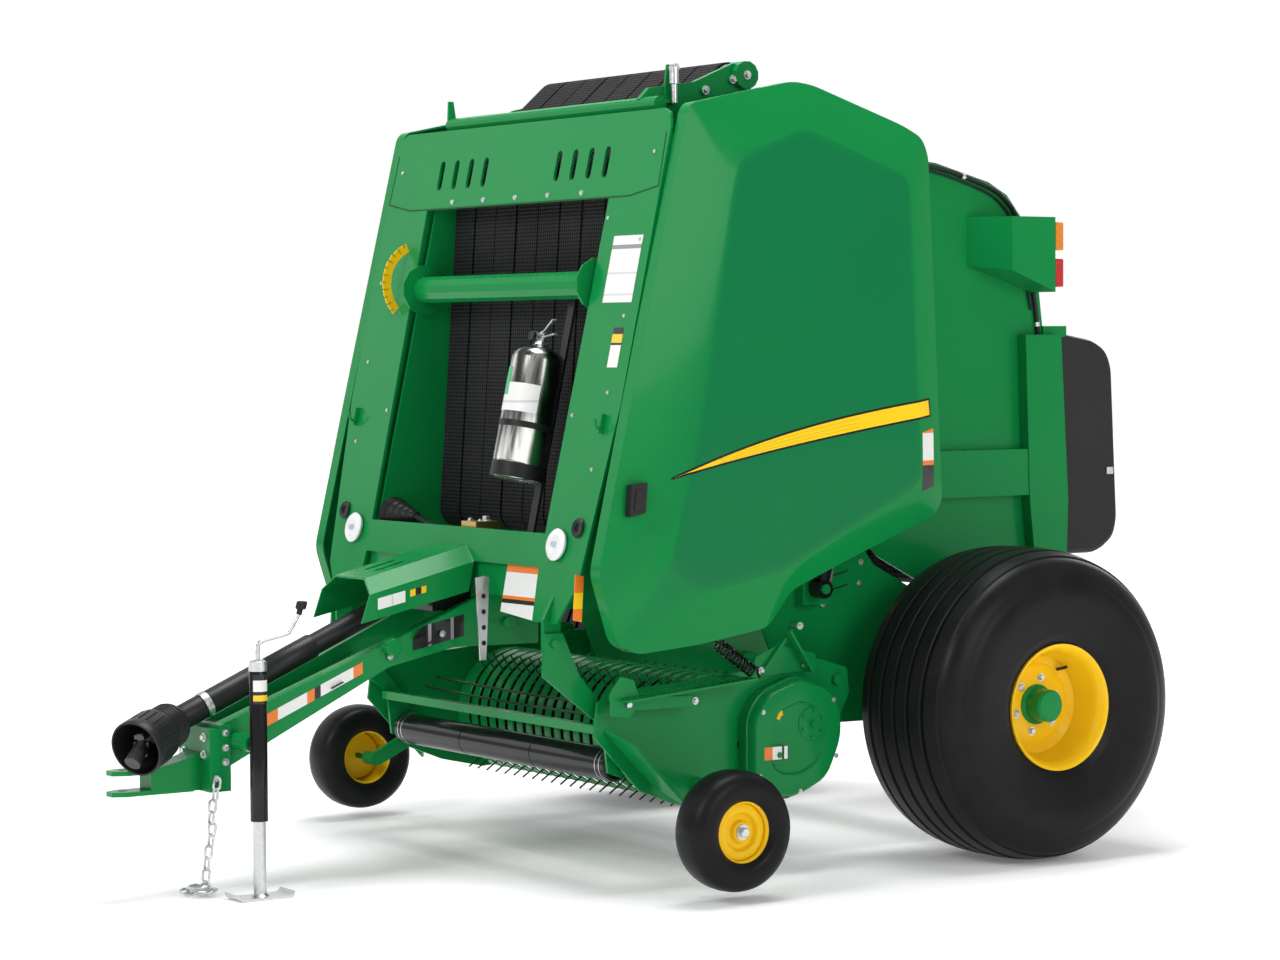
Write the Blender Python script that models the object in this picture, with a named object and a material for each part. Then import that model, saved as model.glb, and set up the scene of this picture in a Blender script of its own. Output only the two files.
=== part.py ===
"""Round baler: a towed hay machine with a belt chamber, a pickup and an opening tailgate.

Metres, +Z up.  The drawbar points to -Y and the machine's left side is +X.  Every place below
is measured from the main axle, (x, y behind the axle, z above the ground), and the whole
machine hangs on one empty that puts the world's origin under the middle of its outline.
"""
from math import cos, pi, radians, sin, sqrt, tan

import bmesh
import bpy
from mathutils import Matrix, Vector

# ---------------------------------------------------------------- driving dimensions
AXLE_Y = 1.1031               # axle, behind the middle of the machine's length
GAP = 0.0003                  # between pieces that touch
RUNNING = 0.006               # between pieces that move past each other
PIN_PLAY = 0.0007             # between a pin and the bore around it
SHEET = 0.010                 # folded sheet of the frame and tailgate

CHAMBER_HALF = 0.600          # inner face of the side sheets
BELT_HALF = CHAMBER_HALF - 0.015             # half the width that the belts cover
BELT_THICK = 0.008
ROLLER_HALF = CHAMBER_HALF - 0.010

LEAN = radians(12.65)         # the front panel leans back by this much
FRONT_FOOT_Y = -2.004         # where the front plane would meet the ground
PANEL_TOP = 2.668
PANEL_FOOT = 0.917
PANEL_HALF_TOP = CHAMBER_HALF + 0.325
PANEL_HALF_LOW = CHAMBER_HALF + 0.170
OPENING_TOP = 2.372
OPENING_FOOT = 1.215
OPENING_HALF_TOP = CHAMBER_HALF + 0.020
OPENING_HALF_LOW = CHAMBER_HALF + 0.002
VENT_FIRST = 0.250
VENT_STEP = 0.104
VENT_COUNT = 4
VENT_WIDTH = 0.034
VENT_HEIGHT = 0.112
VENT_Z = 2.497

CROSS_TUBE = (-1.500, 2.070)
CROSS_RADIUS = 0.050
BEAM_FOOT = 0.985             # the box beam behind the sill
BEAM_TOP = 1.150
BEAM_DEPTH = 0.130

GATE_PIVOT = (-0.460, 2.520)
GATE_PIN = 0.030
GATE_SPLIT_Y = -0.415         # the tailgate's front edge
CYLINDER_X = CHAMBER_HALF + 0.100
CYLINDER_FOOT = (-0.620, 0.980)
CYLINDER_EYE = (-0.360, 2.100)
CYLINDER_BARREL = 0.034
CYLINDER_ROD = 0.018
CYLINDER_BARREL_LENGTH = 0.740

SHIELD_X = CHAMBER_HALF + 0.385              # edge of the side shield's skin
SHIELD_CROWN = 0.045          # how far the middle of the skin stands out
SHIELD_DEPTH = 0.055          # width of the skin's turned edge
SHIELD_THICK = 0.006
SHIELD_HINGE = (SHIELD_X - 0.030, -0.372)
HINGE_PIN = 0.012
HINGE_ARM = 0.070             # from the pin forward to the end of its bracket

TYRE_RADIUS = 0.5625
TYRE_WIDTH = 0.546
TYRE_X = CHAMBER_HALF + 0.444
RIM_RADIUS = 0.2045
RIM_FLANGE = 0.2265
RIM_HALF = 0.247
RIM_WALL = 0.010
DISC_X = 0.125                # wheel disc, outboard of the rim's middle
HUB_RADIUS = 0.070
SPINDLE_RADIUS = 0.036
AXLE_TUBE = 0.060

GAUGE_RADIUS = 0.2045
GAUGE_WIDTH = 0.165
GAUGE_X = CHAMBER_HALF + 0.6685
GAUGE_AXLE = (-1.419, 0.2405)
GAUGE_RIM = 0.1030
GAUGE_FLANGE = 0.1145
GAUGE_PIN = 0.010

PICKUP_PIVOT = (-0.620, 0.660)
PICKUP_PIN = 0.020
PICKUP_SIDE_X = CHAMBER_HALF + 0.175         # inner face of the pickup's side plates
REEL_AXIS = (-1.030, 0.455)
REEL_TUBE = 0.045
TINE_REACH = 0.320
TINE_RADIUS = 0.004
TINE_PITCH = 0.0650
TINE_COLUMNS = 22
TINE_ROWS = 4
TINE_BAR_REACH = 0.165
BAND_RADIUS = 0.235
BAND_THICK = 0.004
BAND_SLOT = 0.022

GUARD_PIVOT = (-1.792, 0.848)
GUARD_PIN = 0.015
GUARD_ARM_X = PICKUP_SIDE_X - 0.037           # inner face of the windguard's arms
GUARD_ARM_THICK = 0.012
PRESS_AXIS = (-1.520, 0.410)
PRESS_RADIUS = 0.0575
PRESS_HALF = GUARD_ARM_X - 0.016

RAIL_FRONT_X = 0.100
RAIL_FLARE = 0.100            # how much each drawbar rail spreads, per metre
RAIL_WIDTH = 0.060
HITCH_HALF = 0.115
DRIVE_REAR = (0.0, -1.955, 0.975)
DRIVE_BEND = (0.010, -2.860, 0.585)
CONE_MOUTH = (0.115, -3.050, 0.518)   # the loose end lies beside the clevis
DRIVE_RADIUS = 0.044
CONE_RADIUS = 0.098
CONE_WALL = 0.006

JACK_X = 0.265
JACK_PIVOT = (-2.667, 0.520)
JACK_TUBE = 0.0300
JACK_LEG = 0.0220
JACK_TOP = 0.800
JACK_TUBE_FOOT = 0.262
JACK_PLATE = 0.008
JACK_PIN = 0.0125

BOTTLE_RADIUS = 0.0875
BOTTLE_FOOT = (0.364, 1.397)
BOTTLE_LENGTH = 0.450
BOTTLE_SIDES = 20
STRAP_THICK = 0.004
STRIP_THICK = 0.010

LAMP_REACH = 0.150            # how far the lamp bracket stands out from the tailgate
LAMP_Y = 0.440                # its rear face

COVER_HINGE = (0.598, 1.905)
COVER_HALF = CHAMBER_HALF
COVER_WALL = 0.008
COVER_PIN = 0.008

# Rollers inside the two runs of belts: (y, z, radius).
TOP_ROLLER = (-0.930, 2.790, 0.066)
UPPER_ROLLER = (-1.290, 2.480, 0.060)
LOWER_ROLLER = (-1.380, 1.250, 0.060)
GATE_TOP_ROLLER = (0.230, 2.330, 0.060)
GATE_REAR_ROLLER = (0.430, 1.360, 0.060)
GATE_LOW_ROLLER = (0.330, 0.990, 0.060)
STARTER_ROLLER = (-0.620, 0.940, 0.110)

SIDES = 12
WHEEL_SIDES = 20
GAUGE_SIDES = 16

COLOURS = {
    "green_paint": ((0.012, 0.190, 0.045), 0.30, 0.0),
    "yellow_paint": ((0.85, 0.56, 0.02), 0.35, 0.0),
    "black_paint": ((0.015, 0.015, 0.016), 0.30, 0.0),
    "black_plastic": ((0.025, 0.025, 0.027), 0.50, 0.0),
    "belt_rubber": ((0.020, 0.020, 0.021), 0.80, 0.0),
    "tyre_rubber": ((0.018, 0.018, 0.019), 0.70, 0.0),
    "zinc": ((0.62, 0.63, 0.64), 0.35, 1.0),
    "stainless": ((0.60, 0.58, 0.55), 0.22, 1.0),
    "brass": ((0.62, 0.42, 0.14), 0.35, 1.0),
    "amber_lens": ((0.90, 0.30, 0.02), 0.15, 0.0),
}

scene = bpy.context.scene
for old in list(bpy.data.objects):
    bpy.data.objects.remove(old, do_unlink=True)

PLACES = {}                   # where each empty sits, from the axle


# ---------------------------------------------------------------- materials and empties
def material(name):
    found = bpy.data.materials.get(name)
    if found:
        return found
    colour, roughness, metallic = COLOURS[name]
    made = bpy.data.materials.new(name)
    made.use_nodes = True
    shader = made.node_tree.nodes["Principled BSDF"]
    shader.inputs["Base Color"].default_value = (*colour, 1.0)
    shader.inputs["Roughness"].default_value = roughness
    shader.inputs["Metallic"].default_value = metallic
    made.diffuse_color = (*colour, 1.0)
    return made


def pivot(name, at, parent=None):
    """An empty on a joint's axis; what it carries turns about it."""
    empty = bpy.data.objects.new(name, None)
    scene.collection.objects.link(empty)
    PLACES[name] = Vector(at)
    if parent:
        empty.parent = parent
        empty.location = PLACES[name] - PLACES[parent.name]
    else:
        empty.location = at
    return empty


machine = pivot("machine", (0.0, 0.0, 0.0))
machine.location = (0.0, AXLE_Y, 0.0)


# ---------------------------------------------------------------- plain solids
def solid(verts, faces):
    mesh = bpy.data.meshes.new("solid")
    mesh.from_pydata([tuple(v) for v in verts], [], faces)
    work = bmesh.new()
    work.from_mesh(mesh)
    bmesh.ops.recalc_face_normals(work, faces=work.faces)
    work.to_mesh(mesh)
    work.free()
    return bpy.data.objects.new("solid", mesh)


def loft(rings):
    """A closed body through rings of equally many points, with flat ends."""
    count = len(rings[0])
    verts = [point for ring in rings for point in ring]
    faces = [tuple(range(count)), tuple(range(len(verts) - count, len(verts)))]
    for level in range(len(rings) - 1):
        for i in range(count):
            a = level * count + i
            b = level * count + (i + 1) % count
            faces.append((a, b, b + count, a + count))
    return solid(verts, faces)


def slab_x(outline, x0, x1, spread=0.0):
    """An outline of (y, z) points made solid from x0 to x1; spread shears x along y."""
    start = outline[0][0]
    return loft([[(x + spread * (y - start), y, z) for y, z in outline] for x in (x0, x1)])


def slab_y(outline, y0, y1, lean=0.0):
    """An outline of (x, z) points made solid from y0 to y1; lean moves y with height."""
    return loft([[(x, y + lean * z, z) for x, z in outline] for y in (y0, y1)])


def box(x0, x1, y0, y1, z0, z1):
    return slab_x([(y0, z0), (y1, z0), (y1, z1), (y0, z1)], x0, x1)


def frame_of(a, b):
    """Two directions square to the line from a to b."""
    along = (Vector(b) - Vector(a)).normalized()
    side = Vector((1, 0, 0)) if abs(along.x) < 0.9 else Vector((0, 1, 0))
    u = along.cross(side).normalized()
    return u, along.cross(u).normalized()


def rod(a, b, radius, sides=SIDES, radius_b=None):
    """A round bar from a to b, or a cone with a second radius."""
    u, v = frame_of(a, b)
    rings = []
    for end, r in ((a, radius), (b, radius if radius_b is None else radius_b)):
        turn = [2 * pi * (i + 0.5) / sides for i in range(sides)]
        rings.append([Vector(end) + r * (cos(t) * u + sin(t) * v) for t in turn])
    return loft(rings)


def rod_x(y, z, radius, x0, x1, sides=SIDES):
    return rod((x0, y, z), (x1, y, z), radius, sides)


def bar(a, b, width, depth):
    """A square-cut bar from a to b; width runs along X unless the bar does."""
    u, v = frame_of(a, b)
    corners = [(-1, -1), (1, -1), (1, 1), (-1, 1)]
    rings = []
    for end in (a, b):
        rings.append([Vector(end) + v * (i * width / 2) + u * (j * depth / 2) for i, j in corners])
    return loft(rings)


def turned(profile, a, b, sides=SIDES):
    """A closed profile of (distance from a, radius) points turned about the line a-b."""
    along = (Vector(b) - Vector(a)).normalized()
    u, v = frame_of(a, b)
    count = len(profile)
    verts = []
    for i in range(sides):
        t = 2 * pi * (i + 0.5) / sides
        out = cos(t) * u + sin(t) * v
        verts += [Vector(a) + along * d + out * r for d, r in profile]
    faces = []
    for i in range(sides):
        for j in range(count):
            p = i * count + j
            q = i * count + (j + 1) % count
            r = (i + 1) % sides * count
            faces.append((p, q, r + (j + 1) % count, r + j))
    return solid(verts, faces)


def mirrored(shape):
    """A copy of a shape on the machine's other side."""
    copy = bpy.data.objects.new("solid", shape.data.copy())
    flip_over([copy])
    return copy


def flip_over(shapes):
    """Moves shapes to the machine's other side."""
    for shape in shapes:
        shape.data.transform(Matrix.Scale(-1, 4, (1, 0, 0)))
        shape.data.flip_normals()


def both(*shapes):
    return list(shapes) + [mirrored(shape) for shape in shapes]


def thicken(shape, thickness):
    """Gives a skin its thickness, on its inner side."""
    modifier = shape.modifiers.new("thickness", "SOLIDIFY")
    modifier.thickness = thickness
    modifier.offset = -1.0
    modifier.use_even_offset = True
    return shape


# ---------------------------------------------------------------- nodes
def operands(name, role, shapes, owner):
    """Keeps the shapes that are added to, or cut from, a node, hidden beside it."""
    group = bpy.data.collections.new(name + "_" + role)
    scene.collection.children.link(group)
    for shape in shapes:
        shape.name = name + "_" + role
        group.objects.link(shape)
        shape.parent = owner
        shape.hide_render = True
        shape.display_type = "WIRE"
    modifier = owner.modifiers.new(role, "BOOLEAN")
    modifier.operation = "UNION" if role == "added" else "DIFFERENCE"
    modifier.operand_type = "COLLECTION"
    modifier.collection = group
    modifier.solver = "EXACT"


def node(name, finish, shapes, cuts=(), on=None):
    """One named sub-part: the union of its shapes, less its cuts, carried by an empty."""
    carrier = on or machine
    body = shapes[0]
    body.name = name
    body.data.name = name
    scene.collection.objects.link(body)
    shift = Matrix.Translation(-PLACES[carrier.name])
    for shape in list(shapes) + list(cuts):
        shape.data.transform(shift)
    if len(shapes) > 1:
        operands(name, "added", shapes[1:], body)
    if cuts:
        operands(name, "cut", list(cuts), body)
    body.parent = carrier
    for shape in shapes:
        shape.data.materials.clear()
        shape.data.materials.append(material(finish))
    body.data.shade_smooth()
    body.data.set_sharp_from_angle(angle=radians(35))
    return body


def hose(points, radius, sides=10):
    """A hose along a smooth line through a few points."""
    line = smooth_line([Vector(p) for p in points], 3.0 * radius)
    rings = []
    for i, place in enumerate(line):
        along = (line[min(i + 1, len(line) - 1)] - line[max(i - 1, 0)]).normalized()
        u = along.cross(Vector((0, 0, 1))).normalized()
        v = along.cross(u)
        turn = [2 * pi * k / sides for k in range(sides)]
        rings.append([place + radius * (cos(t) * u + sin(t) * v) for t in turn])
    return loft(rings)


def smooth_line(knots, step):
    """Points about one step apart on a smooth curve through the knots."""
    padded = [2 * knots[0] - knots[1]] + knots + [2 * knots[-1] - knots[-2]]
    line = []
    for i in range(1, len(padded) - 2):
        a, b, c, d = padded[i - 1:i + 3]
        pieces = max(2, round((c - b).length / step))
        for k in range(pieces):
            t = k / pieces
            line.append(0.5 * ((2 * b) + (c - a) * t + (2 * a - 5 * b + 4 * c - d) * t * t
                               + (3 * b - a - 3 * c + d) * t ** 3))
    return line + [knots[-1]]


# ---------------------------------------------------------------- shared outlines
def front(z):
    """The front panel's outer face at height z."""
    return FRONT_FOOT_Y + tan(LEAN) * z


def stadium(x, z, width, height, arc=4):
    """A slot with round ends, upright, as (x, z) points."""
    r = width / 2
    points = []
    for centre, start in ((z + height / 2 - r, 0.0), (z - height / 2 + r, pi)):
        for i in range(arc + 1):
            t = start + pi * i / arc
            points.append((x + r * cos(t), centre + r * sin(t)))
    return points


def hull(points):
    """The convex outline around points, anticlockwise."""
    points = sorted(set((round(p[0], 6), round(p[1], 6)) for p in points))

    def half(run):
        kept = []
        for p in run:
            while len(kept) > 1 and turn(kept[-2], kept[-1], p) <= 1e-9:
                kept.pop()
            kept.append(p)
        return kept[:-1]

    def turn(a, b, c):
        return (b[0] - a[0]) * (c[1] - a[1]) - (b[1] - a[1]) * (c[0] - a[0])

    return half(points) + half(points[::-1])


def around(rollers, extra):
    """The line that a belt takes around its rollers, extra outside them."""
    points = []
    for y, z, r in rollers:
        for i in range(SIDES):
            t = 2 * pi * (i + 0.5) / SIDES
            points.append((y + (r + extra) * cos(t), z + (r + extra) * sin(t)))
    return hull(points)


def belts(name, rollers):
    outer = slab_x(around(rollers, BELT_THICK), -BELT_HALF, BELT_HALF)
    inner = slab_x(around(rollers, GAP), -BELT_HALF - 0.05, BELT_HALF + 0.05)
    return name, "belt_rubber", [outer], [inner]


def roller(name, place, finish="black_paint", on=None):
    y, z, radius = place
    shaft = rod_x(y, z, radius * 0.35, -CHAMBER_HALF + GAP, CHAMBER_HALF - GAP)
    return node(name, finish, [rod_x(y, z, radius, -ROLLER_HALF, ROLLER_HALF), shaft], on=on)


# ---------------------------------------------------------------- frame
SIDE_OUTLINE = [
    (front(2.600) + 0.030, 2.600), (-1.320, 2.640), (-1.100, 2.755), (-0.960, 2.785), (-0.820, 2.765),
    (-0.425, 2.600), (-0.425, 1.200), (-0.310, 1.050), (0.160, 0.800), (0.160, 0.470),
    (-0.500, 0.480), (-0.660, 0.560), (-0.740, 0.660), (-0.840, 0.900), (-1.300, 0.930),
    (front(0.960) + 0.030, 0.960),
]


def side_sheet(side, flip):
    """One wall of the chamber, with the brackets that carry the tailgate, shield and pickup."""
    outer = CHAMBER_HALF + SHEET
    gate_y, gate_z = GATE_PIVOT
    foot_y, foot_z = CYLINDER_FOOT
    hinge_x, hinge_y = SHIELD_HINGE
    shapes = [
        slab_x(SIDE_OUTLINE, CHAMBER_HALF, outer),
        rod_x(gate_y, gate_z, GATE_PIN, outer - 0.005, outer + 0.052, 20),
        rod_x(foot_y, foot_z, 0.018, outer - 0.005, CYLINDER_X + 0.035),
        box(outer - 0.005, CYLINDER_X - 0.040, foot_y - 0.05, foot_y + 0.05, foot_z - 0.06, foot_z + 0.05),
        rod_x(*PICKUP_PIVOT, 0.045, outer - 0.005, PICKUP_SIDE_X - 0.015),
        rod_x(*PICKUP_PIVOT, PICKUP_PIN, outer, PICKUP_SIDE_X + 0.030),
    ]
    for z in (1.400, 2.400):
        corner = (hinge_x, hinge_y - HINGE_ARM, z)
        shapes.append(bar((outer - 0.005, hinge_y - 0.400, z), corner, 0.030, 0.040))
        shapes.append(box(hinge_x - 0.007, hinge_x + 0.007, corner[1], hinge_y, z - 0.014, z + 0.014))
    shapes.append(rod((hinge_x, hinge_y, 1.360), (hinge_x, hinge_y, 2.440), HINGE_PIN, 12))
    cuts = [rod_x(0, TYRE_RADIUS, AXLE_TUBE + GAP, CHAMBER_HALF - 0.05, outer + 0.05)]
    if flip:
        flip_over(shapes + cuts)
    node("side_sheet_" + side, "green_paint", shapes, cuts)


def front_panel():
    """The leaning front: header with vents, two columns, and the sill under the opening."""
    lean = tan(LEAN)
    hem = PANEL_HALF_TOP - 0.061
    half = [
        (PANEL_HALF_LOW, PANEL_FOOT), (PANEL_HALF_TOP - 0.064, 1.050), (PANEL_HALF_TOP, 1.660),
        (PANEL_HALF_TOP, 2.600), (PANEL_HALF_TOP - 0.019, 2.650), (hem, PANEL_TOP),
    ]
    legs = [(CHAMBER_HALF, 1.100), (CHAMBER_HALF + 0.020, PANEL_FOOT)]
    outline = legs + half
    outline += [(-x, z) for x, z in reversed(outline)]
    sheet = slab_y(outline, FRONT_FOOT_Y, FRONT_FOOT_Y + SHEET, lean)
    shapes = [sheet]
    edge = [(front(z) + SHEET * 0.5, z) for z in (1.70, 2.58)]
    edge += [(y + 0.040, z) for y, z in reversed(edge)]
    shapes += both(slab_x(edge, PANEL_HALF_TOP - 0.010, PANEL_HALF_TOP - 0.0005))
    rim = [(front(z) + SHEET * 0.5, z) for z in (1.16, OPENING_TOP + 0.02)]
    rim += [(y + 0.020, z) for y, z in reversed(rim)]
    shapes += both(slab_x(rim, OPENING_HALF_TOP + 0.004, OPENING_HALF_TOP + 0.012))
    top_y = front(PANEL_TOP)
    shapes.append(box(-hem, hem, top_y + 0.003, top_y + 0.070, PANEL_TOP - 0.012, PANEL_TOP - 0.002))
    guard_y, guard_z = GUARD_PIVOT
    lug = [(guard_y - 0.03, guard_z - 0.03), (guard_y + 0.03, guard_z - 0.03),
           (front(1.02) + 0.035, 1.020), (front(1.02) + 0.003, 1.020), (guard_y - 0.03, 0.93)]
    shapes += both(
        slab_x(lug, GUARD_ARM_X - 0.024, GUARD_ARM_X - RUNNING),
        rod_x(guard_y, guard_z, GUARD_PIN, GUARD_ARM_X - 0.020, GUARD_ARM_X + GUARD_ARM_THICK + 0.012, 12),
    )
    hole = [
        (-OPENING_HALF_LOW, OPENING_FOOT), (OPENING_HALF_LOW, OPENING_FOOT),
        (OPENING_HALF_TOP, OPENING_TOP), (-OPENING_HALF_TOP, OPENING_TOP),
    ]
    cuts = [slab_y(hole, FRONT_FOOT_Y - 0.1, FRONT_FOOT_Y + 0.1, lean)]
    for side in (-1, 1):
        for i in range(VENT_COUNT):
            slot = stadium(side * (VENT_FIRST + i * VENT_STEP), VENT_Z, VENT_WIDTH, VENT_HEIGHT)
            cuts.append(slab_y(slot, FRONT_FOOT_Y - 0.1, FRONT_FOOT_Y + 0.1, lean))
    node("front_panel", "green_paint", shapes, cuts)


def cross_tube():
    """The round tube across the opening, with a flange at each side sheet."""
    reach = CHAMBER_HALF - GAP
    shapes = [rod_x(*CROSS_TUBE, CROSS_RADIUS, -reach, reach)]
    shapes += both(rod_x(*CROSS_TUBE, CROSS_RADIUS + 0.045, reach - 0.010, reach))
    node("cross_tube", "green_paint", shapes)


def axle():
    """The axle tube under the chamber and the two spindles."""
    shapes = [rod_x(0, TYRE_RADIUS, AXLE_TUBE, -0.760, 0.760)]
    shapes += [rod_x(0, TYRE_RADIUS, SPINDLE_RADIUS, -TYRE_X - 0.120, TYRE_X + 0.120)]
    return shapes


# ---------------------------------------------------------------- wheels
def wheel(side, flip):
    """Ribbed flotation tyre, deep-dished rim and hub, all turned about the axle."""
    hand = -1 if flip else 1
    carrier = pivot("wheel_axis_" + side, (hand * TYRE_X, 0, TYRE_RADIUS), machine)
    inner = (hand * (TYRE_X - TYRE_WIDTH / 2), 0, TYRE_RADIUS)
    outer = (hand * (TYRE_X + TYRE_WIDTH / 2), 0, TYRE_RADIUS)
    w = TYRE_WIDTH
    bead = RIM_RADIUS + GAP * 2
    low = w / 2 - RIM_HALF + 0.014
    tyre = [
        (low, bead), (low, RIM_FLANGE + 0.003), (low - 0.014, RIM_FLANGE + 0.008), (0.008, 0.330),
        (0.0, 0.400), (0.020, 0.480), (0.060, 0.535), (0.110, 0.556), (w / 2, TYRE_RADIUS),
    ]
    tyre += [(w - d, r) for d, r in reversed(tyre[:-1])]
    node("tyre_" + side, "tyre_rubber", [turned(tyre, inner, outer, WHEEL_SIDES)], on=carrier)
    rim_in = w / 2 - RIM_HALF
    disc = w / 2 + DISC_X
    rim = [
        (rim_in, RIM_FLANGE), (rim_in + 0.012, RIM_FLANGE), (rim_in + 0.0125, RIM_RADIUS),
        (w - rim_in - 0.0125, RIM_RADIUS), (w - rim_in - 0.012, RIM_FLANGE), (w - rim_in, RIM_FLANGE),
        (w - rim_in, RIM_RADIUS - RIM_WALL), (disc + 0.012, RIM_RADIUS - RIM_WALL),
        (disc + 0.012, HUB_RADIUS - 0.004), (disc, HUB_RADIUS - 0.004), (disc, RIM_RADIUS - RIM_WALL),
        (rim_in, RIM_RADIUS - RIM_WALL),
    ]
    bore = SPINDLE_RADIUS + PIN_PLAY
    end = w / 2 + 0.125
    hub = [
        (disc - 0.150, bore), (disc - 0.150, HUB_RADIUS), (disc + 0.040, HUB_RADIUS),
        (disc + 0.062, 0.050), (disc + 0.070, 0.004), (end, 0.004), (end, bore),
    ]
    shapes = [turned(profile, inner, outer, WHEEL_SIDES) for profile in (rim, hub)]
    node("rim_" + side, "yellow_paint", shapes, on=carrier)


def gauge_wheel(side, flip, carrier_body):
    """A small smooth tyre on its yellow rim, turning on the pickup's stub axle."""
    hand = -1 if flip else 1
    y, z = GAUGE_AXLE
    carrier = pivot("gauge_axis_" + side, (hand * GAUGE_X, y, z), carrier_body)
    inner = (hand * (GAUGE_X - GAUGE_WIDTH / 2), y, z)
    outer = (hand * (GAUGE_X + GAUGE_WIDTH / 2), y, z)
    w = GAUGE_WIDTH
    tyre = [
        (0.0205, GAUGE_RIM + GAP * 2), (0.0205, GAUGE_FLANGE + 0.002), (0.010, GAUGE_FLANGE + 0.004),
        (0.0, 0.150), (0.012, 0.183), (0.040, 0.199), (w / 2, GAUGE_RADIUS),
    ]
    tyre += [(w - d, r) for d, r in reversed(tyre[:-1])]
    node("gauge_tyre_" + side, "tyre_rubber", [turned(tyre, inner, outer, GAUGE_SIDES)], on=carrier)
    bore = GAUGE_PIN + PIN_PLAY
    rim = [
        (0.012, 0.094), (0.012, GAUGE_FLANGE), (0.019, GAUGE_FLANGE), (0.020, GAUGE_RIM),
        (w - 0.020, GAUGE_RIM), (w - 0.019, GAUGE_FLANGE), (w - 0.012, GAUGE_FLANGE),
        (w - 0.012, 0.094), (w / 2 + 0.020, 0.088), (w / 2 + 0.016, 0.026), (w - 0.025, 0.024),
        (w - 0.025, bore), (0.025, bore), (0.025, 0.024), (w / 2 - 0.016, 0.026),
        (w / 2 - 0.020, 0.088),
    ]
    node("gauge_rim_" + side, "yellow_paint", [turned(rim, inner, outer, GAUGE_SIDES)], on=carrier)


# ---------------------------------------------------------------- drawbar and driveline
BEAM_FRONT = front(BEAM_TOP) + SHEET + GAP
RAIL_OUTLINE = [
    (-2.720, 0.420), (-2.580, 0.492), (-2.100, 0.742), (-1.850, 0.800), (-1.520, 0.800),
    (-1.520, 0.980), (-1.720, 0.980), (-2.720, 0.577),
]


def drawbar():
    """Two spreading rails, the bolted hitch block, and the cross plate under the driveline."""
    rail = slab_x(RAIL_OUTLINE, RAIL_FRONT_X - RAIL_WIDTH, RAIL_FRONT_X, RAIL_FLARE)
    shapes = both(rail)
    shapes.append(box(-HITCH_HALF, HITCH_HALF, -2.735, -2.695, 0.350, 0.578))
    shapes.append(bar((0, -2.60, 0.500), (0, -2.10, 0.765), 0.200, 0.012))
    reach = CHAMBER_HALF - GAP
    back = BEAM_FRONT + BEAM_DEPTH
    beam = [(BEAM_FRONT, BEAM_FOOT), (back, BEAM_FOOT), (back, BEAM_TOP), (BEAM_FRONT, BEAM_TOP)]
    shapes.append(slab_x(beam, -reach, reach))
    for side in (-1, 1):
        x = side * 0.190
        shapes.append(box(x - 0.030, x + 0.030, BEAM_FRONT, BEAM_FRONT + 0.120, 0.900, 1.000))
    shapes.append(rod((0.08, JACK_PIVOT[0], JACK_PIVOT[1]),
                      (JACK_X - JACK_TUBE - RUNNING, *JACK_PIVOT), 0.030))
    socket = rod_x(*JACK_PIVOT, JACK_PIN + PIN_PLAY, 0.115, JACK_X)
    node("drawbar", "green_paint", shapes, [socket])


def hitch():
    """The cast clevis in front of the hitch block."""
    half = 0.045
    back = -2.735 - GAP
    shapes = [box(-HITCH_HALF, HITCH_HALF, -2.775, back, 0.350, 0.564)]
    body = [(-2.960, 0.352), (-2.760, 0.352), (-2.760, 0.490), (-2.840, 0.460), (-2.960, 0.433)]
    shapes.append(slab_x(body, -half, half))
    for z in (0.349, 0.420):
        tip = [(-half, -2.80), (half, -2.80), (half, -3.050), (0.022, -3.095)]
        tip += [(-0.022, -3.095), (-half, -3.050)]
        shapes.append(loft([[(x, y, h) for x, y in tip] for h in (z, z + 0.016)]))
    pin = [rod((0, -3.045, 0.30), (0, -3.045, 0.50), 0.016, 16)]
    node("hitch_clevis", "green_paint", shapes, pin)


def gearbox_cover():
    """A folded sheet over the gearbox, open at the front, with two slots in its top."""
    rise = 0.215
    y0 = -2.215
    t = 0.006
    outer = [(0.175, 0.900), (0.175, 1.000), (0.105, 1.052)]
    outer += [(-x, z) for x, z in reversed(outer)]
    inner = [(0.175 - t, 0.900), (0.175 - t, 0.997), (0.102, 1.046), (-0.102, 1.046),
             (-0.175 + t, 0.997), (-0.175 + t, 0.900)]
    outline = outer + inner[::-1]
    mouth = [(x, y0 - (0.9 - z) * 0.35, z) for x, z in outline]
    seat = []
    for x, z in outline:
        y = (FRONT_FOOT_Y - GAP + tan(LEAN) * (z - rise * y0)) / (1 - tan(LEAN) * rise)
        seat.append((x, y, z + rise * (y - y0)))
    shape = loft([mouth, seat])
    cuts = []
    for x in (-0.035, 0.035):
        cuts.append(box(x - 0.012, x + 0.012, -2.080, -1.960, 0.95, 1.25))
    node("gearbox_cover", "green_paint", [shape], cuts)


def gearbox():
    back = BEAM_FRONT - GAP
    end = Vector(DRIVE_REAR)
    y, z = end.y, end.z
    along = (end - Vector(DRIVE_BEND)).normalized()
    shapes = [
        box(-0.115, 0.115, y + 0.060, back, z - 0.050, z + 0.105),
        rod(end + along * GAP, end + along * 0.100, 0.040),
    ]
    return node("gearbox", "black_paint", shapes)


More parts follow.
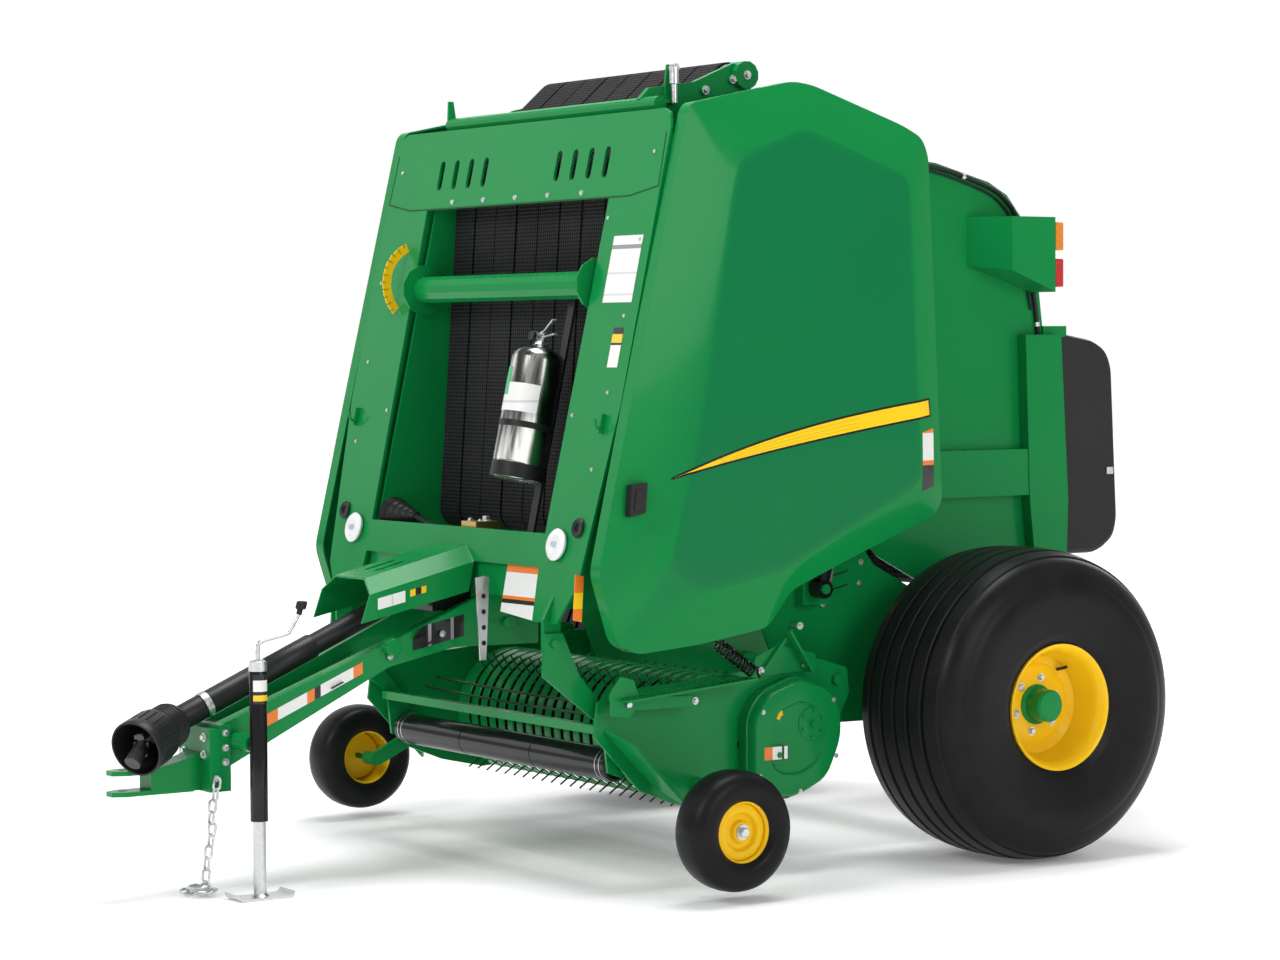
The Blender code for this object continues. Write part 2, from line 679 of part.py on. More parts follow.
def driveline():
    """Guarded telescoping shaft with the flared cone and the yoke at its free end."""
    rear, bend, mouth = DRIVE_REAR, DRIVE_BEND, CONE_MOUTH
    middle = Vector(rear).lerp(Vector(bend), 0.40)
    shapes = [
        rod(rear, Vector(rear).lerp(Vector(bend), 0.5), DRIVE_RADIUS * 0.86),
        rod(middle, bend, DRIVE_RADIUS),
    ]
    length = (Vector(mouth) - Vector(bend)).length
    bell = [
        (-0.020, DRIVE_RADIUS + 0.004), (0.010, 0.076), (0.080, 0.084), (0.100, CONE_RADIUS - 0.006),
        (length, CONE_RADIUS), (length, CONE_RADIUS - CONE_WALL), (0.104, CONE_RADIUS - 0.006 - CONE_WALL),
        (0.076, 0.078), (0.020, 0.070), (0.020, 0.015), (-0.020, 0.015),
    ]
    shapes.append(turned(bell, bend, mouth))
    tip = Vector(mouth) + Vector((0.010, -0.020, -0.050))
    shapes.append(rod(Vector(bend).lerp(Vector(rear), 0.05), tip, 0.027, 16))
    shapes.append(bar(Vector(mouth) + Vector((0, 0.05, 0.03)), tip, 0.080, 0.050))
    node("driveline", "black_plastic", shapes)


# ---------------------------------------------------------------- jack
def jack():
    """The parking jack: its tube swings on the drawbar and its leg slides in the tube."""
    y, z = JACK_PIVOT
    swing = pivot("jack_swing_axis", (JACK_X, y, z), machine)
    shapes = [rod((JACK_X, y, JACK_TUBE_FOOT), (JACK_X, y, JACK_TOP), JACK_TUBE, 20)]
    shapes.append(rod_x(y, z, JACK_PIN, 0.125, JACK_X - JACK_LEG - 0.004))
    shapes.append(rod((JACK_X, y, JACK_TOP - 0.01), (JACK_X, y, JACK_TOP + 0.070), 0.008, 10))
    elbow = Vector((JACK_X, y, JACK_TOP + 0.060))
    knee = elbow + Vector((0.0, 0.115, 0.030))
    hand = knee + Vector((0.0, 0.045, 0.070))
    shapes += [rod(elbow, knee, 0.008, 10), rod(knee, hand, 0.008, 10)]
    shapes.append(rod(hand, hand + Vector((0, 0.012, 0.045)), 0.019, 12))
    bore = rod((JACK_X, y, JACK_TUBE_FOOT - 0.1), (JACK_X, y, JACK_TOP - 0.060), JACK_LEG + PIN_PLAY, 20)
    node("jack_tube", "black_paint", shapes, [bore], on=swing)
    leg = rod((JACK_X, y, 0.004), (JACK_X, y, 0.440), JACK_LEG, 20)
    plate = box(JACK_X - 0.055, JACK_X + 0.055, y - 0.105, y + 0.105, 0.0, JACK_PLATE)
    slide = pivot("jack_leg_axis", (JACK_X, y, JACK_TUBE_FOOT), swing)
    node("jack_leg", "zinc", [leg, plate], on=slide)


# ---------------------------------------------------------------- pickup
def pickup_frame(carrier):
    """Side plates, rear tube, flares and the arms that hold the gauge wheels."""
    x0 = PICKUP_SIDE_X
    x1 = x0 + 0.012
    plate = [
        (-0.570, 0.700), (-0.560, 0.610), (-0.660, 0.420), (-0.830, 0.250), (-1.150, 0.230),
        (-1.330, 0.270), (-1.470, 0.325), (-1.655, 0.525), (-1.640, 0.640), (-1.560, 0.672),
        (-1.060, 0.710), (-0.700, 0.740),
    ]
    gy, gz = GAUGE_AXLE
    arm_y, arm_z = -1.230, 0.330
    arm_x = GAUGE_X - GAUGE_WIDTH / 2 - 0.045
    shapes = both(
        slab_x(plate, x0, x1),
        rod_x(arm_y, arm_z, 0.026, x0 + 0.004, arm_x + 0.010),
        bar((arm_x, arm_y, arm_z), (arm_x, gy, gz), 0.022, 0.055),
        rod_x(gy, gz, 0.026, arm_x - 0.010, GAUGE_X - GAUGE_WIDTH / 2 + 0.019),
        rod_x(gy, gz, GAUGE_PIN, arm_x, GAUGE_X + GAUGE_WIDTH / 2 - 0.010, 12),
        deck(),
        shoe(),
    )
    shapes.append(rod_x(-0.640, 0.480, 0.030, -x0 - 0.006, x0 + 0.006))
    hole = rod_x(*PICKUP_PIVOT, PICKUP_PIN + PIN_PLAY, x0 - 0.05, x1 + 0.05)
    axle_hole = rod_x(*REEL_AXIS, 0.026, x0 - 0.05, x1 + 0.05)
    node("pickup_frame", "green_paint", shapes, both(hole, axle_hole), on=carrier)


def deck():
    """The sheet at each end of the pickup that leads the crop in: a top deck and a sloped shoe."""
    top = [(-1.600, 0.655), (-1.060, 0.700), (-1.060, 0.692), (-1.600, 0.647)]
    return slab_x(top, PICKUP_SIDE_X + 0.006, PICKUP_SIDE_X + 0.140)


def shoe():
    """The flat flared shoe ahead of each end of the reel, sloping down and back."""
    inner_x, outer_x = PICKUP_SIDE_X + 0.004, PICKUP_SIDE_X + 0.130
    top_y, top_z, fall = -1.622, 0.545, 1.016
    corners = [(inner_x, top_y), (outer_x, -1.570), (outer_x, -1.345), (inner_x, -1.430)]
    face = [(x, y, top_z - fall * (y - top_y)) for x, y in corners]
    back = [(x, y + 0.008, z + 0.008) for x, y, z in face]
    return loft([face, back])


def stripper_bands(carrier):
    """Bent bands around the reel, open at the rear, joined by a bar under the chamber."""
    y, z = REEL_AXIS
    start, end, steps = radians(35), radians(255), 6
    shapes = []
    first = -(TINE_COLUMNS - 1) / 2 * TINE_PITCH
    edges = [-PICKUP_SIDE_X + 0.004]
    for i in range(TINE_COLUMNS):
        x = first + i * TINE_PITCH
        edges += [x - BAND_SLOT / 2, x + BAND_SLOT / 2]
    edges.append(PICKUP_SIDE_X - 0.004)
    arc = [start + (end - start) * i / steps for i in range(steps + 1)]
    outline = [(y + BAND_RADIUS * cos(t), z + BAND_RADIUS * sin(t)) for t in arc]
    inside = BAND_RADIUS - BAND_THICK
    outline += [(y + inside * cos(t), z + inside * sin(t)) for t in reversed(arc)]
    for x0, x1 in zip(edges[0::2], edges[1::2]):
        shapes.append(slab_x(outline, x0, x1))
    tie_y = y + (BAND_RADIUS - 0.004) * cos(start)
    tie_z = z + (BAND_RADIUS - 0.004) * sin(start)
    reach = PICKUP_SIDE_X - GAP
    shapes.append(box(-reach, reach, tie_y - 0.006, tie_y + 0.006, tie_z - 0.012, tie_z + 0.012))
    return node("stripper_bands", "green_paint", shapes, on=carrier)


def reel(carrier_body):
    """The pickup reel: a tube, end discs, tine bars and rows of spring tines."""
    y, z = REEL_AXIS
    carrier = pivot("reel_axis", (0, y, z), carrier_body)
    reach = PICKUP_SIDE_X - RUNNING - 0.004
    shapes = [rod_x(y, z, REEL_TUBE, -reach, reach)]
    shapes.append(rod_x(y, z, 0.0250, -PICKUP_SIDE_X - 0.010, PICKUP_SIDE_X + 0.010))
    last = PICKUP_SIDE_X - 0.075
    for x in (-last, -last / 3, last / 3, last):
        shapes.append(rod_x(y, z, 0.185, x - 0.004, x + 0.004))
    first = -(TINE_COLUMNS - 1) / 2 * TINE_PITCH
    for row in range(TINE_ROWS):
        t = radians(222) + 2 * pi * row / TINE_ROWS
        out = Vector((0, cos(t), sin(t)))
        trail = Vector((0, -sin(t), cos(t)))
        centre = Vector((0, y, z)) + TINE_BAR_REACH * out
        half = 0.012
        tine_bar = [centre + half * (i * out + j * trail) for i, j in ((-1, -1), (1, -1), (1, 1), (-1, 1))]
        shapes.append(slab_x([(p.y, p.z) for p in tine_bar], -last - 0.012, last + 0.012))
        for i in range(TINE_COLUMNS):
            side = Vector((first + i * TINE_PITCH, 0, 0))
            tip = Vector((0, y, z)) + (TINE_REACH - 0.002) * out - 0.004 * trail
            shapes.append(rod(centre + side, tip + side, TINE_RADIUS, 3))
    return node("pickup_reel", "black_paint", shapes, on=carrier)


def drive_cover(carrier):
    """The rounded housing over the pickup's chain drive, on the machine's left."""
    x0 = PICKUP_SIDE_X + 0.012 + GAP
    outline = [
        (-1.050, 0.330), (-1.050, 0.560), (-0.990, 0.640), (-0.840, 0.690), (-0.700, 0.640),
        (-0.655, 0.560), (-0.655, 0.460), (-0.720, 0.320), (-0.850, 0.262), (-0.980, 0.270),
    ]
    shape = slab_x(outline, x0, PICKUP_SIDE_X + 0.105)
    pin = rod_x(*PICKUP_PIVOT, 0.052, x0 - 0.05, x0 + 0.15)
    shaft = rod_x(*REEL_AXIS, 0.030, x0 - 0.05, x0 + 0.020)
    node("pickup_drive_cover", "green_paint", [shape], [pin, shaft], on=carrier)


# ---------------------------------------------------------------- windguard
def windguard():
    y, z = GUARD_PIVOT
    carrier = pivot("windguard_axis", (0, y, z), machine)
    py, pz = PRESS_AXIS
    x0, x1 = GUARD_ARM_X, GUARD_ARM_X + GUARD_ARM_THICK
    arm = [
        (y - 0.035, z + 0.035), (y - 0.045, z - 0.110), (py - 0.075, pz + 0.140), (py - 0.055, pz - 0.020),
        (py, pz - 0.040), (py + 0.040, pz), (py + 0.010, pz + 0.110), (y + 0.100, z - 0.110),
        (y + 0.035, z + 0.035),
    ]
    shapes = both(slab_x(arm, x0, x1))
    bar_y, bar_z = py - 0.080, pz + 0.130
    shapes.append(bar((-x0 - 0.004, bar_y, bar_z), (x0 + 0.004, bar_y, bar_z), 0.030, 0.030))
    holes = both(
        rod_x(y, z, GUARD_PIN + PIN_PLAY, x0 - 0.05, x1 + 0.05, 12),
        rod_x(py, pz, 0.016 + PIN_PLAY, x0 - 0.05, x1 + 0.05, 12),
    )
    node("windguard", "green_paint", shapes, holes, on=carrier)
    spin = pivot("press_roller_axis", (0, py, pz), carrier)
    roll = [rod_x(py, pz, PRESS_RADIUS, -PRESS_HALF, PRESS_HALF, 24)]
    roll.append(rod_x(py, pz, 0.016, -x1 - 0.004, x1 + 0.004, 12))
    node("press_roller", "black_paint", roll, on=spin)


# ---------------------------------------------------------------- tailgate
GATE_OUTLINE = [
    (GATE_SPLIT_Y, 2.488), (-0.290, 2.556), (-0.013, 2.527), (0.240, 2.462), (0.330, 2.415), (0.393, 2.341),
    (0.487, 2.060), (0.545, 1.600), (0.560, 1.200), (0.535, 1.000), (0.440, 0.880), (0.280, 0.830),
    (0.180, 0.835), (-0.290, 1.078), (GATE_SPLIT_Y, 1.205),
]


def gate_side(side, flip, carrier):
    """One wall of the tailgate with its hinge lug, cylinder lug and rear post."""
    outer = CHAMBER_HALF + SHEET
    gy, gz = GATE_PIVOT
    ey, ez = CYLINDER_EYE
    cy, cz = COVER_HINGE
    lug = [(gy - 0.050, gz - 0.020), (gy - 0.020, gz - 0.060), (gy + 0.250, gz - 0.160),
           (gy + 0.250, gz + 0.020), (gy + 0.030, gz + 0.050), (gy - 0.035, gz + 0.035)]
    post = [(0.380, 1.890), (0.555, 1.890), (0.590, 1.270), (0.580, 0.960), (0.440, 0.900), (0.400, 1.270)]
    shapes = [
        slab_x(GATE_OUTLINE, CHAMBER_HALF, outer),
        slab_x(lug, outer + RUNNING, outer + RUNNING + 0.016),
        box(outer - 0.004, outer + 0.012, gy + 0.110, gy + 0.240, gz - 0.130, gz - 0.005),
        rod_x(ey, ez, 0.030, outer - 0.005, CYLINDER_X - CYLINDER_ROD - 0.006),
        box(outer - 0.004, outer + 0.046, -0.300, 0.420, 1.286, 1.460),
        slab_x(post, outer - 0.004, outer + 0.050),
        lamp_bracket(),
        slab_x([(0.500, 1.860), (cy + 0.018, cz - 0.020), (cy + 0.018, cz + 0.018), (0.500, cz + 0.018)],
               outer - 0.003, outer + 0.010),
        rod_x(cy, cz, COVER_PIN, COVER_HALF - 0.012, outer + 0.004, 12),
    ]
    cuts = [rod_x(gy, gz, GATE_PIN + PIN_PLAY, outer + 0.001, outer + 0.08, 20)]
    if flip:
        flip_over(shapes)
        flip_over(cuts)
    node("gate_side_" + side, "green_paint", shapes, cuts, on=carrier)


def gate_rear(carrier):
    """The tailgate's rear sheet: a band at the top and one at the foot, joined by side strips."""
    reach = CHAMBER_HALF - GAP
    top = [(0.300, 2.425), (0.389, 2.336), (0.480, 2.060), (0.470, 2.057), (0.380, 2.330), (0.294, 2.416)]
    low = [(0.520, 0.995), (0.552, 1.190), (0.540, 1.600), (0.530, 1.600), (0.542, 1.192), (0.510, 0.999)]
    strip = [(0.479, 2.080), (0.540, 1.590), (0.530, 1.580), (0.469, 2.070)]
    shapes = [slab_x(top, -reach, reach), slab_x(low, -reach, reach)]
    shapes += both(slab_x(strip, reach - 0.060, reach))
    node("gate_rear_sheet", "green_paint", shapes, on=carrier)


def lamp_bracket():
    """The folded bracket that holds the lamps out at the top of the tailgate."""
    x0 = CHAMBER_HALF + SHEET - 0.004
    x1 = CHAMBER_HALF + SHEET + LAMP_REACH
    corners = [(x0, 0.130), (x1, 0.230), (x1, LAMP_Y), (x0, LAMP_Y)]
    top = [(x, y, 2.330) for x, y in corners]
    low = [(x, y, z) for (x, y), z in zip(corners, (2.150, 2.130, 2.050, 2.050))]
    return loft([top, low])


def lamps(side, flip, carrier):
    """Amber over red, on one black back plate."""
    x0 = CHAMBER_HALF + SHEET + LAMP_REACH - 0.110
    x1 = x0 + 0.090
    back = LAMP_Y + GAP
    shapes = [
        box(x0 - 0.006, x1 + 0.006, back, back + 0.006, 2.060, 2.320),
        box(x0, x1, back + 0.003, back + 0.028, 2.205, 2.312),
        box(x0, x1, back + 0.003, back + 0.028, 2.068, 2.175),
    ]
    if flip:
        flip_over(shapes)
    node("lamps_" + side, "amber_lens", shapes, on=carrier)


def rear_cover(carrier_body):
    """The black plastic cover behind the tailgate, hinged along its top edge."""
    y, z = COVER_HINGE
    carrier = pivot("rear_cover_axis", (0, y, z), carrier_body)
    outer = [
        (0.592, 1.900), (0.780, 1.868), (0.840, 1.832), (0.868, 1.770), (0.897, 1.172), (0.878, 1.105),
        (0.800, 1.050), (0.600, 1.050),
    ]
    inner = [
        (0.500, 1.885), (0.778, 1.860), (0.834, 1.826), (0.860, 1.766), (0.889, 1.174), (0.871, 1.110),
        (0.797, 1.058), (0.500, 1.058),
    ]
    shape = slab_x(outer, -COVER_HALF, COVER_HALF)
    cut = slab_x(inner, -COVER_HALF + COVER_WALL, COVER_HALF - COVER_WALL)
    ear = [(y - 0.018, z - 0.030), (y + 0.030, z - 0.030), (y + 0.030, z + 0.004), (y + 0.010, z + 0.018),
           (y - 0.010, z + 0.018), (y - 0.018, z + 0.010)]
    ears = both(slab_x(ear, COVER_HALF - COVER_WALL, COVER_HALF))
    bores = both(rod_x(y, z, COVER_PIN + PIN_PLAY, COVER_HALF - 0.05, COVER_HALF + 0.05, 12))
    return node("rear_cover", "black_plastic", [shape] + ears, [cut] + bores, on=carrier)


def cylinder(side, flip):
    """A tailgate cylinder: its barrel swings on the frame and its rod reaches the gate's lug."""
    hand = -1 if flip else 1
    x = hand * CYLINDER_X
    foot = Vector((x, *CYLINDER_FOOT))
    eye = Vector((x, *CYLINDER_EYE))
    along = (eye - foot).normalized()
    base = pivot("cylinder_axis_" + side, foot, machine)
    bore_end = foot + along * CYLINDER_BARREL_LENGTH
    shapes = [rod(foot + along * 0.030, bore_end, CYLINDER_BARREL)]
    shapes.append(rod_x(foot.y, foot.z, 0.036, x - 0.026, x + 0.026))
    cuts = [
        rod(foot + along * 0.120, bore_end + along * 0.1, CYLINDER_ROD + PIN_PLAY),
        rod_x(foot.y, foot.z, 0.018 + PIN_PLAY, x - 0.1, x + 0.1),
    ]
    node("cylinder_barrel_" + side, "black_paint", shapes, cuts, on=base)
    slide = pivot("cylinder_slide_" + side, eye, base)
    shapes = [rod(foot + along * 0.620, eye, CYLINDER_ROD), rod_x(eye.y, eye.z, 0.030, x - 0.018, x + 0.018)]
    node("cylinder_rod_" + side, "zinc", shapes, on=slide)


# ---------------------------------------------------------------- side shields
SHIELD_EDGE = [
    (-1.392, 2.655), (-1.373, 2.680), (-0.951, 2.768), (-0.865, 2.758), (-0.468, 2.631), (-0.380, 2.590),
    (-0.351, 2.528), (-0.320, 1.907), (-0.290, 1.300), (-0.322, 1.247), (-0.718, 1.102), (-0.959, 1.008),
    (-1.067, 0.881), (-1.362, 0.838), (-1.609, 0.818), (-1.690, 0.856), (-1.765, 1.095), (-1.632, 1.660),
]
SHIELD_FIELD = [
    (-1.207, 2.489), (-0.930, 2.600), (-0.470, 2.440), (-0.420, 1.370), (-0.980, 1.095),
    (-1.361, 1.026), (-1.500, 1.120), (-1.380, 1.500),
]


def side_shield(side, flip):
    """A pressed skin with a flat field, sloped borders and turned edges."""
    hand = -1 if flip else 1
    hinge = pivot("shield_axis_" + side, (hand * SHIELD_HINGE[0], SHIELD_HINGE[1], 1.9), machine)
    work = bmesh.new()
    edge = [work.verts.new((SHIELD_X, y, z)) for y, z in SHIELD_EDGE]
    field = [work.verts.new((SHIELD_X + SHIELD_CROWN, y, z)) for y, z in SHIELD_FIELD]
    inner = [work.verts.new((SHIELD_X - SHIELD_DEPTH, y, z)) for y, z in SHIELD_EDGE]
    loops = []
    for loop in (edge, field):
        loops += [work.edges.new((loop[i], loop[(i + 1) % len(loop)])) for i in range(len(loop))]
    bmesh.ops.bridge_loops(work, edges=loops)
    work.faces.new(field)
    for i in range(len(edge)):
        j = (i + 1) % len(edge)
        work.faces.new((edge[i], edge[j], inner[j], inner[i]))
    bmesh.ops.recalc_face_normals(work, faces=work.faces)
    mesh = bpy.data.meshes.new("skin")
    if max(work.faces, key=lambda f: f.calc_center_median().x).normal.x < 0:
        bmesh.ops.reverse_faces(work, faces=work.faces)
    work.to_mesh(mesh)
    work.free()
    shapes = [thicken(bpy.data.objects.new("solid", mesh), SHIELD_THICK)]
    x, y = SHIELD_HINGE
    knuckle = [(0, HINGE_PIN + PIN_PLAY), (0, 0.022), (0.060, 0.022), (0.060, HINGE_PIN + PIN_PLAY)]
    for z in (1.460, 2.280):
        shapes.append(turned(knuckle, (x, y, z), (x, y, z + 0.060), 12))
        shapes.append(box(x + 0.016, x + 0.048, y - 0.012, y + 0.012, z + 0.005, z + 0.055))
    if flip:
        flip_over(shapes)
    node("side_shield_" + side, "green_paint", shapes, on=hinge)


# ---------------------------------------------------------------- fittings on the front
def extinguisher():
    """A steel bottle in a strap, on an upright strip between the beam and the cross tube."""
    x, z = BOTTLE_FOOT
    lean = Vector((0, sin(LEAN), cos(LEAN)))
    inward = Vector((0, cos(LEAN), -sin(LEAN)))
    tube_y, tube_z = CROSS_TUBE
    behind = inward.dot(Vector((0, tube_y - front(tube_z), 0)))
    behind += CROSS_RADIUS + GAP + STRIP_THICK / 2
    standoff = STRIP_THICK / 2 + 2 * GAP + STRAP_THICK + BOTTLE_RADIUS
    foot = Vector((x, front(z), z)) + inward * (behind - standoff)
    top = foot + lean * BOTTLE_LENGTH
    profile = [
        (0.0, BOTTLE_RADIUS - 0.010), (0.010, BOTTLE_RADIUS), (BOTTLE_LENGTH - 0.060, BOTTLE_RADIUS),
        (BOTTLE_LENGTH - 0.025, BOTTLE_RADIUS * 0.78), (BOTTLE_LENGTH, 0.026), (BOTTLE_LENGTH + 0.050, 0.024),
    ]
    u, v = frame_of(foot, top)
    turn = [2 * pi * (i + 0.5) / BOTTLE_SIDES for i in range(BOTTLE_SIDES)]
    rings = [[foot + lean * d + r * (cos(t) * u + sin(t) * v) for t in turn] for d, r in profile]
    head = top + lean * 0.040
    shapes = [loft(rings)]
    shapes.append(bar(head + Vector((-0.030, 0, 0)), head + Vector((0.085, -0.005, 0.060)), 0.020, 0.016))
    shapes.append(bar(head + Vector((0, 0, 0.010)), head + Vector((0.095, -0.005, 0.012)), 0.016, 0.010))
    node("extinguisher", "stainless", shapes)
    strap_at = foot + lean * 0.150
    inner, outer = BOTTLE_RADIUS + GAP, BOTTLE_RADIUS + STRAP_THICK
    band = [(0, inner), (0, outer), (0.026, outer), (0.026, inner)]
    strap = turned(band, strap_at, strap_at + lean, BOTTLE_SIDES)
    line = Vector((x, front(z), z)) + inward * behind
    down = (line.z - BEAM_TOP - GAP - STRIP_THICK / 2) / cos(LEAN)
    clamp = strap_at + lean * 0.013
    shapes = [
        bar(line - lean * down, line + lean * 0.720, 0.040, STRIP_THICK),
        bar(clamp + inward * (BOTTLE_RADIUS + 0.001), clamp + inward * (BOTTLE_RADIUS + 0.008), 0.030, 0.026),
        strap,
    ]
    node("extinguisher_bracket", "black_paint", shapes)


def scale_arc():
    """The curved scale at the side of the opening that shows the bale's size."""
    radius, width, sweep = 0.165, 0.034, radians(55)
    inset = (radius - width) * cos(sweep) - 2 * GAP
    centre_y, centre_z = front(2.110) + inset * cos(LEAN), 2.110 - inset * sin(LEAN)
    arc = [pi - LEAN - sweep + 2 * sweep * i / 8 for i in range(9)]
    outline = [(centre_y + radius * cos(t), centre_z + radius * sin(t)) for t in arc]
    inner = radius - width
    outline += [(centre_y + inner * cos(t), centre_z + inner * sin(t)) for t in reversed(arc)]
    x = CHAMBER_HALF + 0.094
    node("bale_size_scale", "yellow_paint", [slab_x(outline, -x - 0.006, -x)])


def belt_arm():
    """The bar and arms above the header that hold the top roller."""
    pipe = 0.026
    y, z = -1.350, PANEL_TOP - 0.002 + pipe + GAP
    ry, rz, radius = TOP_ROLLER
    wall = CHAMBER_HALF + 0.040
    shapes = [rod_x(y, z, pipe, -wall, wall + 0.120)]
    arm = [
        (ry - 0.045, rz + 0.060), (ry + 0.045, rz + 0.060), (ry + 0.045, rz - 0.020),
        (ry - 0.200, rz - 0.090), (y + 0.060, z - 0.020), (y - 0.020, z + 0.020), (y + 0.020, z + 0.060),
        (ry - 0.210, rz - 0.010),
    ]
    shapes += [slab_x(arm, wall, wall + 0.024)]
    shapes.append(rod_x(ry, rz + 0.020, 0.050, CHAMBER_HALF + SHEET + GAP, wall + 0.050))
    finger = [(y - 0.020, z - 0.010), (y + 0.020, z - 0.010), (y + 0.004, z + 0.090), (y - 0.016, z + 0.090)]
    shapes.append(slab_x(finger, -wall, -wall + 0.010))
    node("belt_arm", "green_paint", shapes)


def valve_and_hoses():
    y, z = front(BEAM_TOP) + SHEET + 0.070, BEAM_TOP
    block = [box(0.020, 0.120, y - 0.050, y + 0.050, z + GAP, z + 0.085)]
    block += [rod_x(y, z + 0.045, 0.014, -0.015, 0.030, 12), rod_x(y, z + 0.045, 0.014, 0.110, 0.155, 12)]
    node("valve_block", "brass", block)
    right = [(-0.016, y, z + 0.045), (-0.05, y, z + 0.045), (-0.12, y - 0.01, z + 0.050),
             (-0.26, y - 0.01, z + 0.056), (-CHAMBER_HALF + 0.160, y + 0.030, z + 0.078)]
    neck, wide = (-CHAMBER_HALF + 0.170, y + 0.030, z + 0.078), (-CHAMBER_HALF + GAP, y + 0.030, z + 0.078)
    boot = rod(neck, wide, 0.018, 16, 0.070)
    node("hose_right", "black_plastic", [hose(right, 0.012), boot])
    left = [(0.1559, y, z + 0.045), (0.20, y, z + 0.045), (0.28, y - 0.015, z + 0.030),
            (0.38, y - 0.035, z + 0.018), (0.48, y - 0.015, z + 0.016),
            (CHAMBER_HALF - 0.040, y, z + 0.018), (CHAMBER_HALF - 0.003, y, z + 0.018)]
    node("hose_left", "black_plastic", [hose(left, 0.012)])


def chain():
    """The safety chain hanging from the hitch to the ground."""
    top = Vector((HITCH_HALF + 0.009 * cos(pi / 8) + GAP, -2.755, 0.400))
    shapes = [rod(top, (top.x, -2.800, 0.014), 0.009, 8)]
    shapes.append(rod((top.x, -2.820, 0.001), (top.x, -2.820, 0.026), 0.070, 16, 0.045))
    node("safety_chain", "zinc", shapes)


# ---------------------------------------------------------------- the whole machine
def build():
    for side, flip in (("left", False), ("right", True)):
        side_sheet(side, flip)
        wheel(side, flip)
        side_shield(side, flip)
        cylinder(side, flip)
    front_panel()
    cross_tube()
    axle_shapes = axle()
    node("axle", "black_paint", axle_shapes)
    drawbar()
    hitch()
    gearbox_cover()
    gearbox()
    driveline()
    jack()
    node(*belts("front_belts", [TOP_ROLLER, UPPER_ROLLER, LOWER_ROLLER]))
    roller("belt_roller_top", TOP_ROLLER)
    roller("belt_roller_upper", UPPER_ROLLER)
    roller("belt_roller_lower", LOWER_ROLLER)
    roller("starter_roller", STARTER_ROLLER)
    pickup = pivot("pickup_axis", (0, *PICKUP_PIVOT), machine)
    pickup_frame(pickup)
    stripper_bands(pickup)
    drive_cover(pickup)
    reel(pickup)
    for side, flip in (("left", False), ("right", True)):
        gauge_wheel(side, flip, pickup)
    windguard()
    gate = pivot("tailgate_axis", (0, *GATE_PIVOT), machine)
    for side, flip in (("left", False), ("right", True)):
        gate_side(side, flip, gate)
        lamps(side, flip, gate)
    gate_rear(gate)
    node(*belts("gate_belts", [GATE_TOP_ROLLER, GATE_REAR_ROLLER, GATE_LOW_ROLLER]), on=gate)
    roller("gate_roller_top", GATE_TOP_ROLLER, on=gate)
    roller("gate_roller_rear", GATE_REAR_ROLLER, on=gate)
    roller("gate_roller_low", GATE_LOW_ROLLER, on=gate)
    rear_cover(gate)
    extinguisher()
    scale_arc()
    belt_arm()
    valve_and_hoses()
    chain()


build()
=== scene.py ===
# %% [markdown]
# # A round baler, dressed for a portrait
# A round baler gathers cut hay, rolls it between belts and drops the bale through its tailgate.
# Its frame, joints and sizes come ready made, as plain solids. This notebook gives every solid
# its finish and adds what a plain solid leaves out: tread, belts, tines, links, bolts and labels.
# Places are measured from the main axle: x to the machine's left, y to its rear, z up, in metres.

# %% Load the frame
from math import ceil, cos, hypot, pi, radians, sin, tan

import bmesh
import bpy
from mathutils import Matrix, Vector
from mathutils.bvhtree import BVHTree


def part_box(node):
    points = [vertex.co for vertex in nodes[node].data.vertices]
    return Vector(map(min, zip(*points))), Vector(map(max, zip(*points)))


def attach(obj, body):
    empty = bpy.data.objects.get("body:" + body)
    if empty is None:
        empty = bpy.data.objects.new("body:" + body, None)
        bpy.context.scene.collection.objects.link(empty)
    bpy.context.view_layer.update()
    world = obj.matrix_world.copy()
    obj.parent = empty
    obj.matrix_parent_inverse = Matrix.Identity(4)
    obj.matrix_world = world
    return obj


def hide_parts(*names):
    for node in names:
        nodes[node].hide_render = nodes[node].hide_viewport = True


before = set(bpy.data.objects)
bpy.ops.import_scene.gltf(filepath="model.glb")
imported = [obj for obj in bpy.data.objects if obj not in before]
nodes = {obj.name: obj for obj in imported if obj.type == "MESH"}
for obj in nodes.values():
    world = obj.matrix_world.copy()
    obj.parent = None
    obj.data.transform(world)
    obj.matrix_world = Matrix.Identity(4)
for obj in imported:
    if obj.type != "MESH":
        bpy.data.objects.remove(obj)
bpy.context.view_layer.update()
axle_low, axle_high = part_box("axle")
AXLE_Y = (axle_low.y + axle_high.y) / 2
SIDES = (("left", 1), ("right", -1))


# %% [markdown]
# ## Camera
# A product portrait is taken from far off, low down and with a long lens, so that upright lines stay
# upright. A camera could be aimed with a constraint, but its matrix is built here from three
# directions, forward, side and rise, because each of its angles is then a named value.

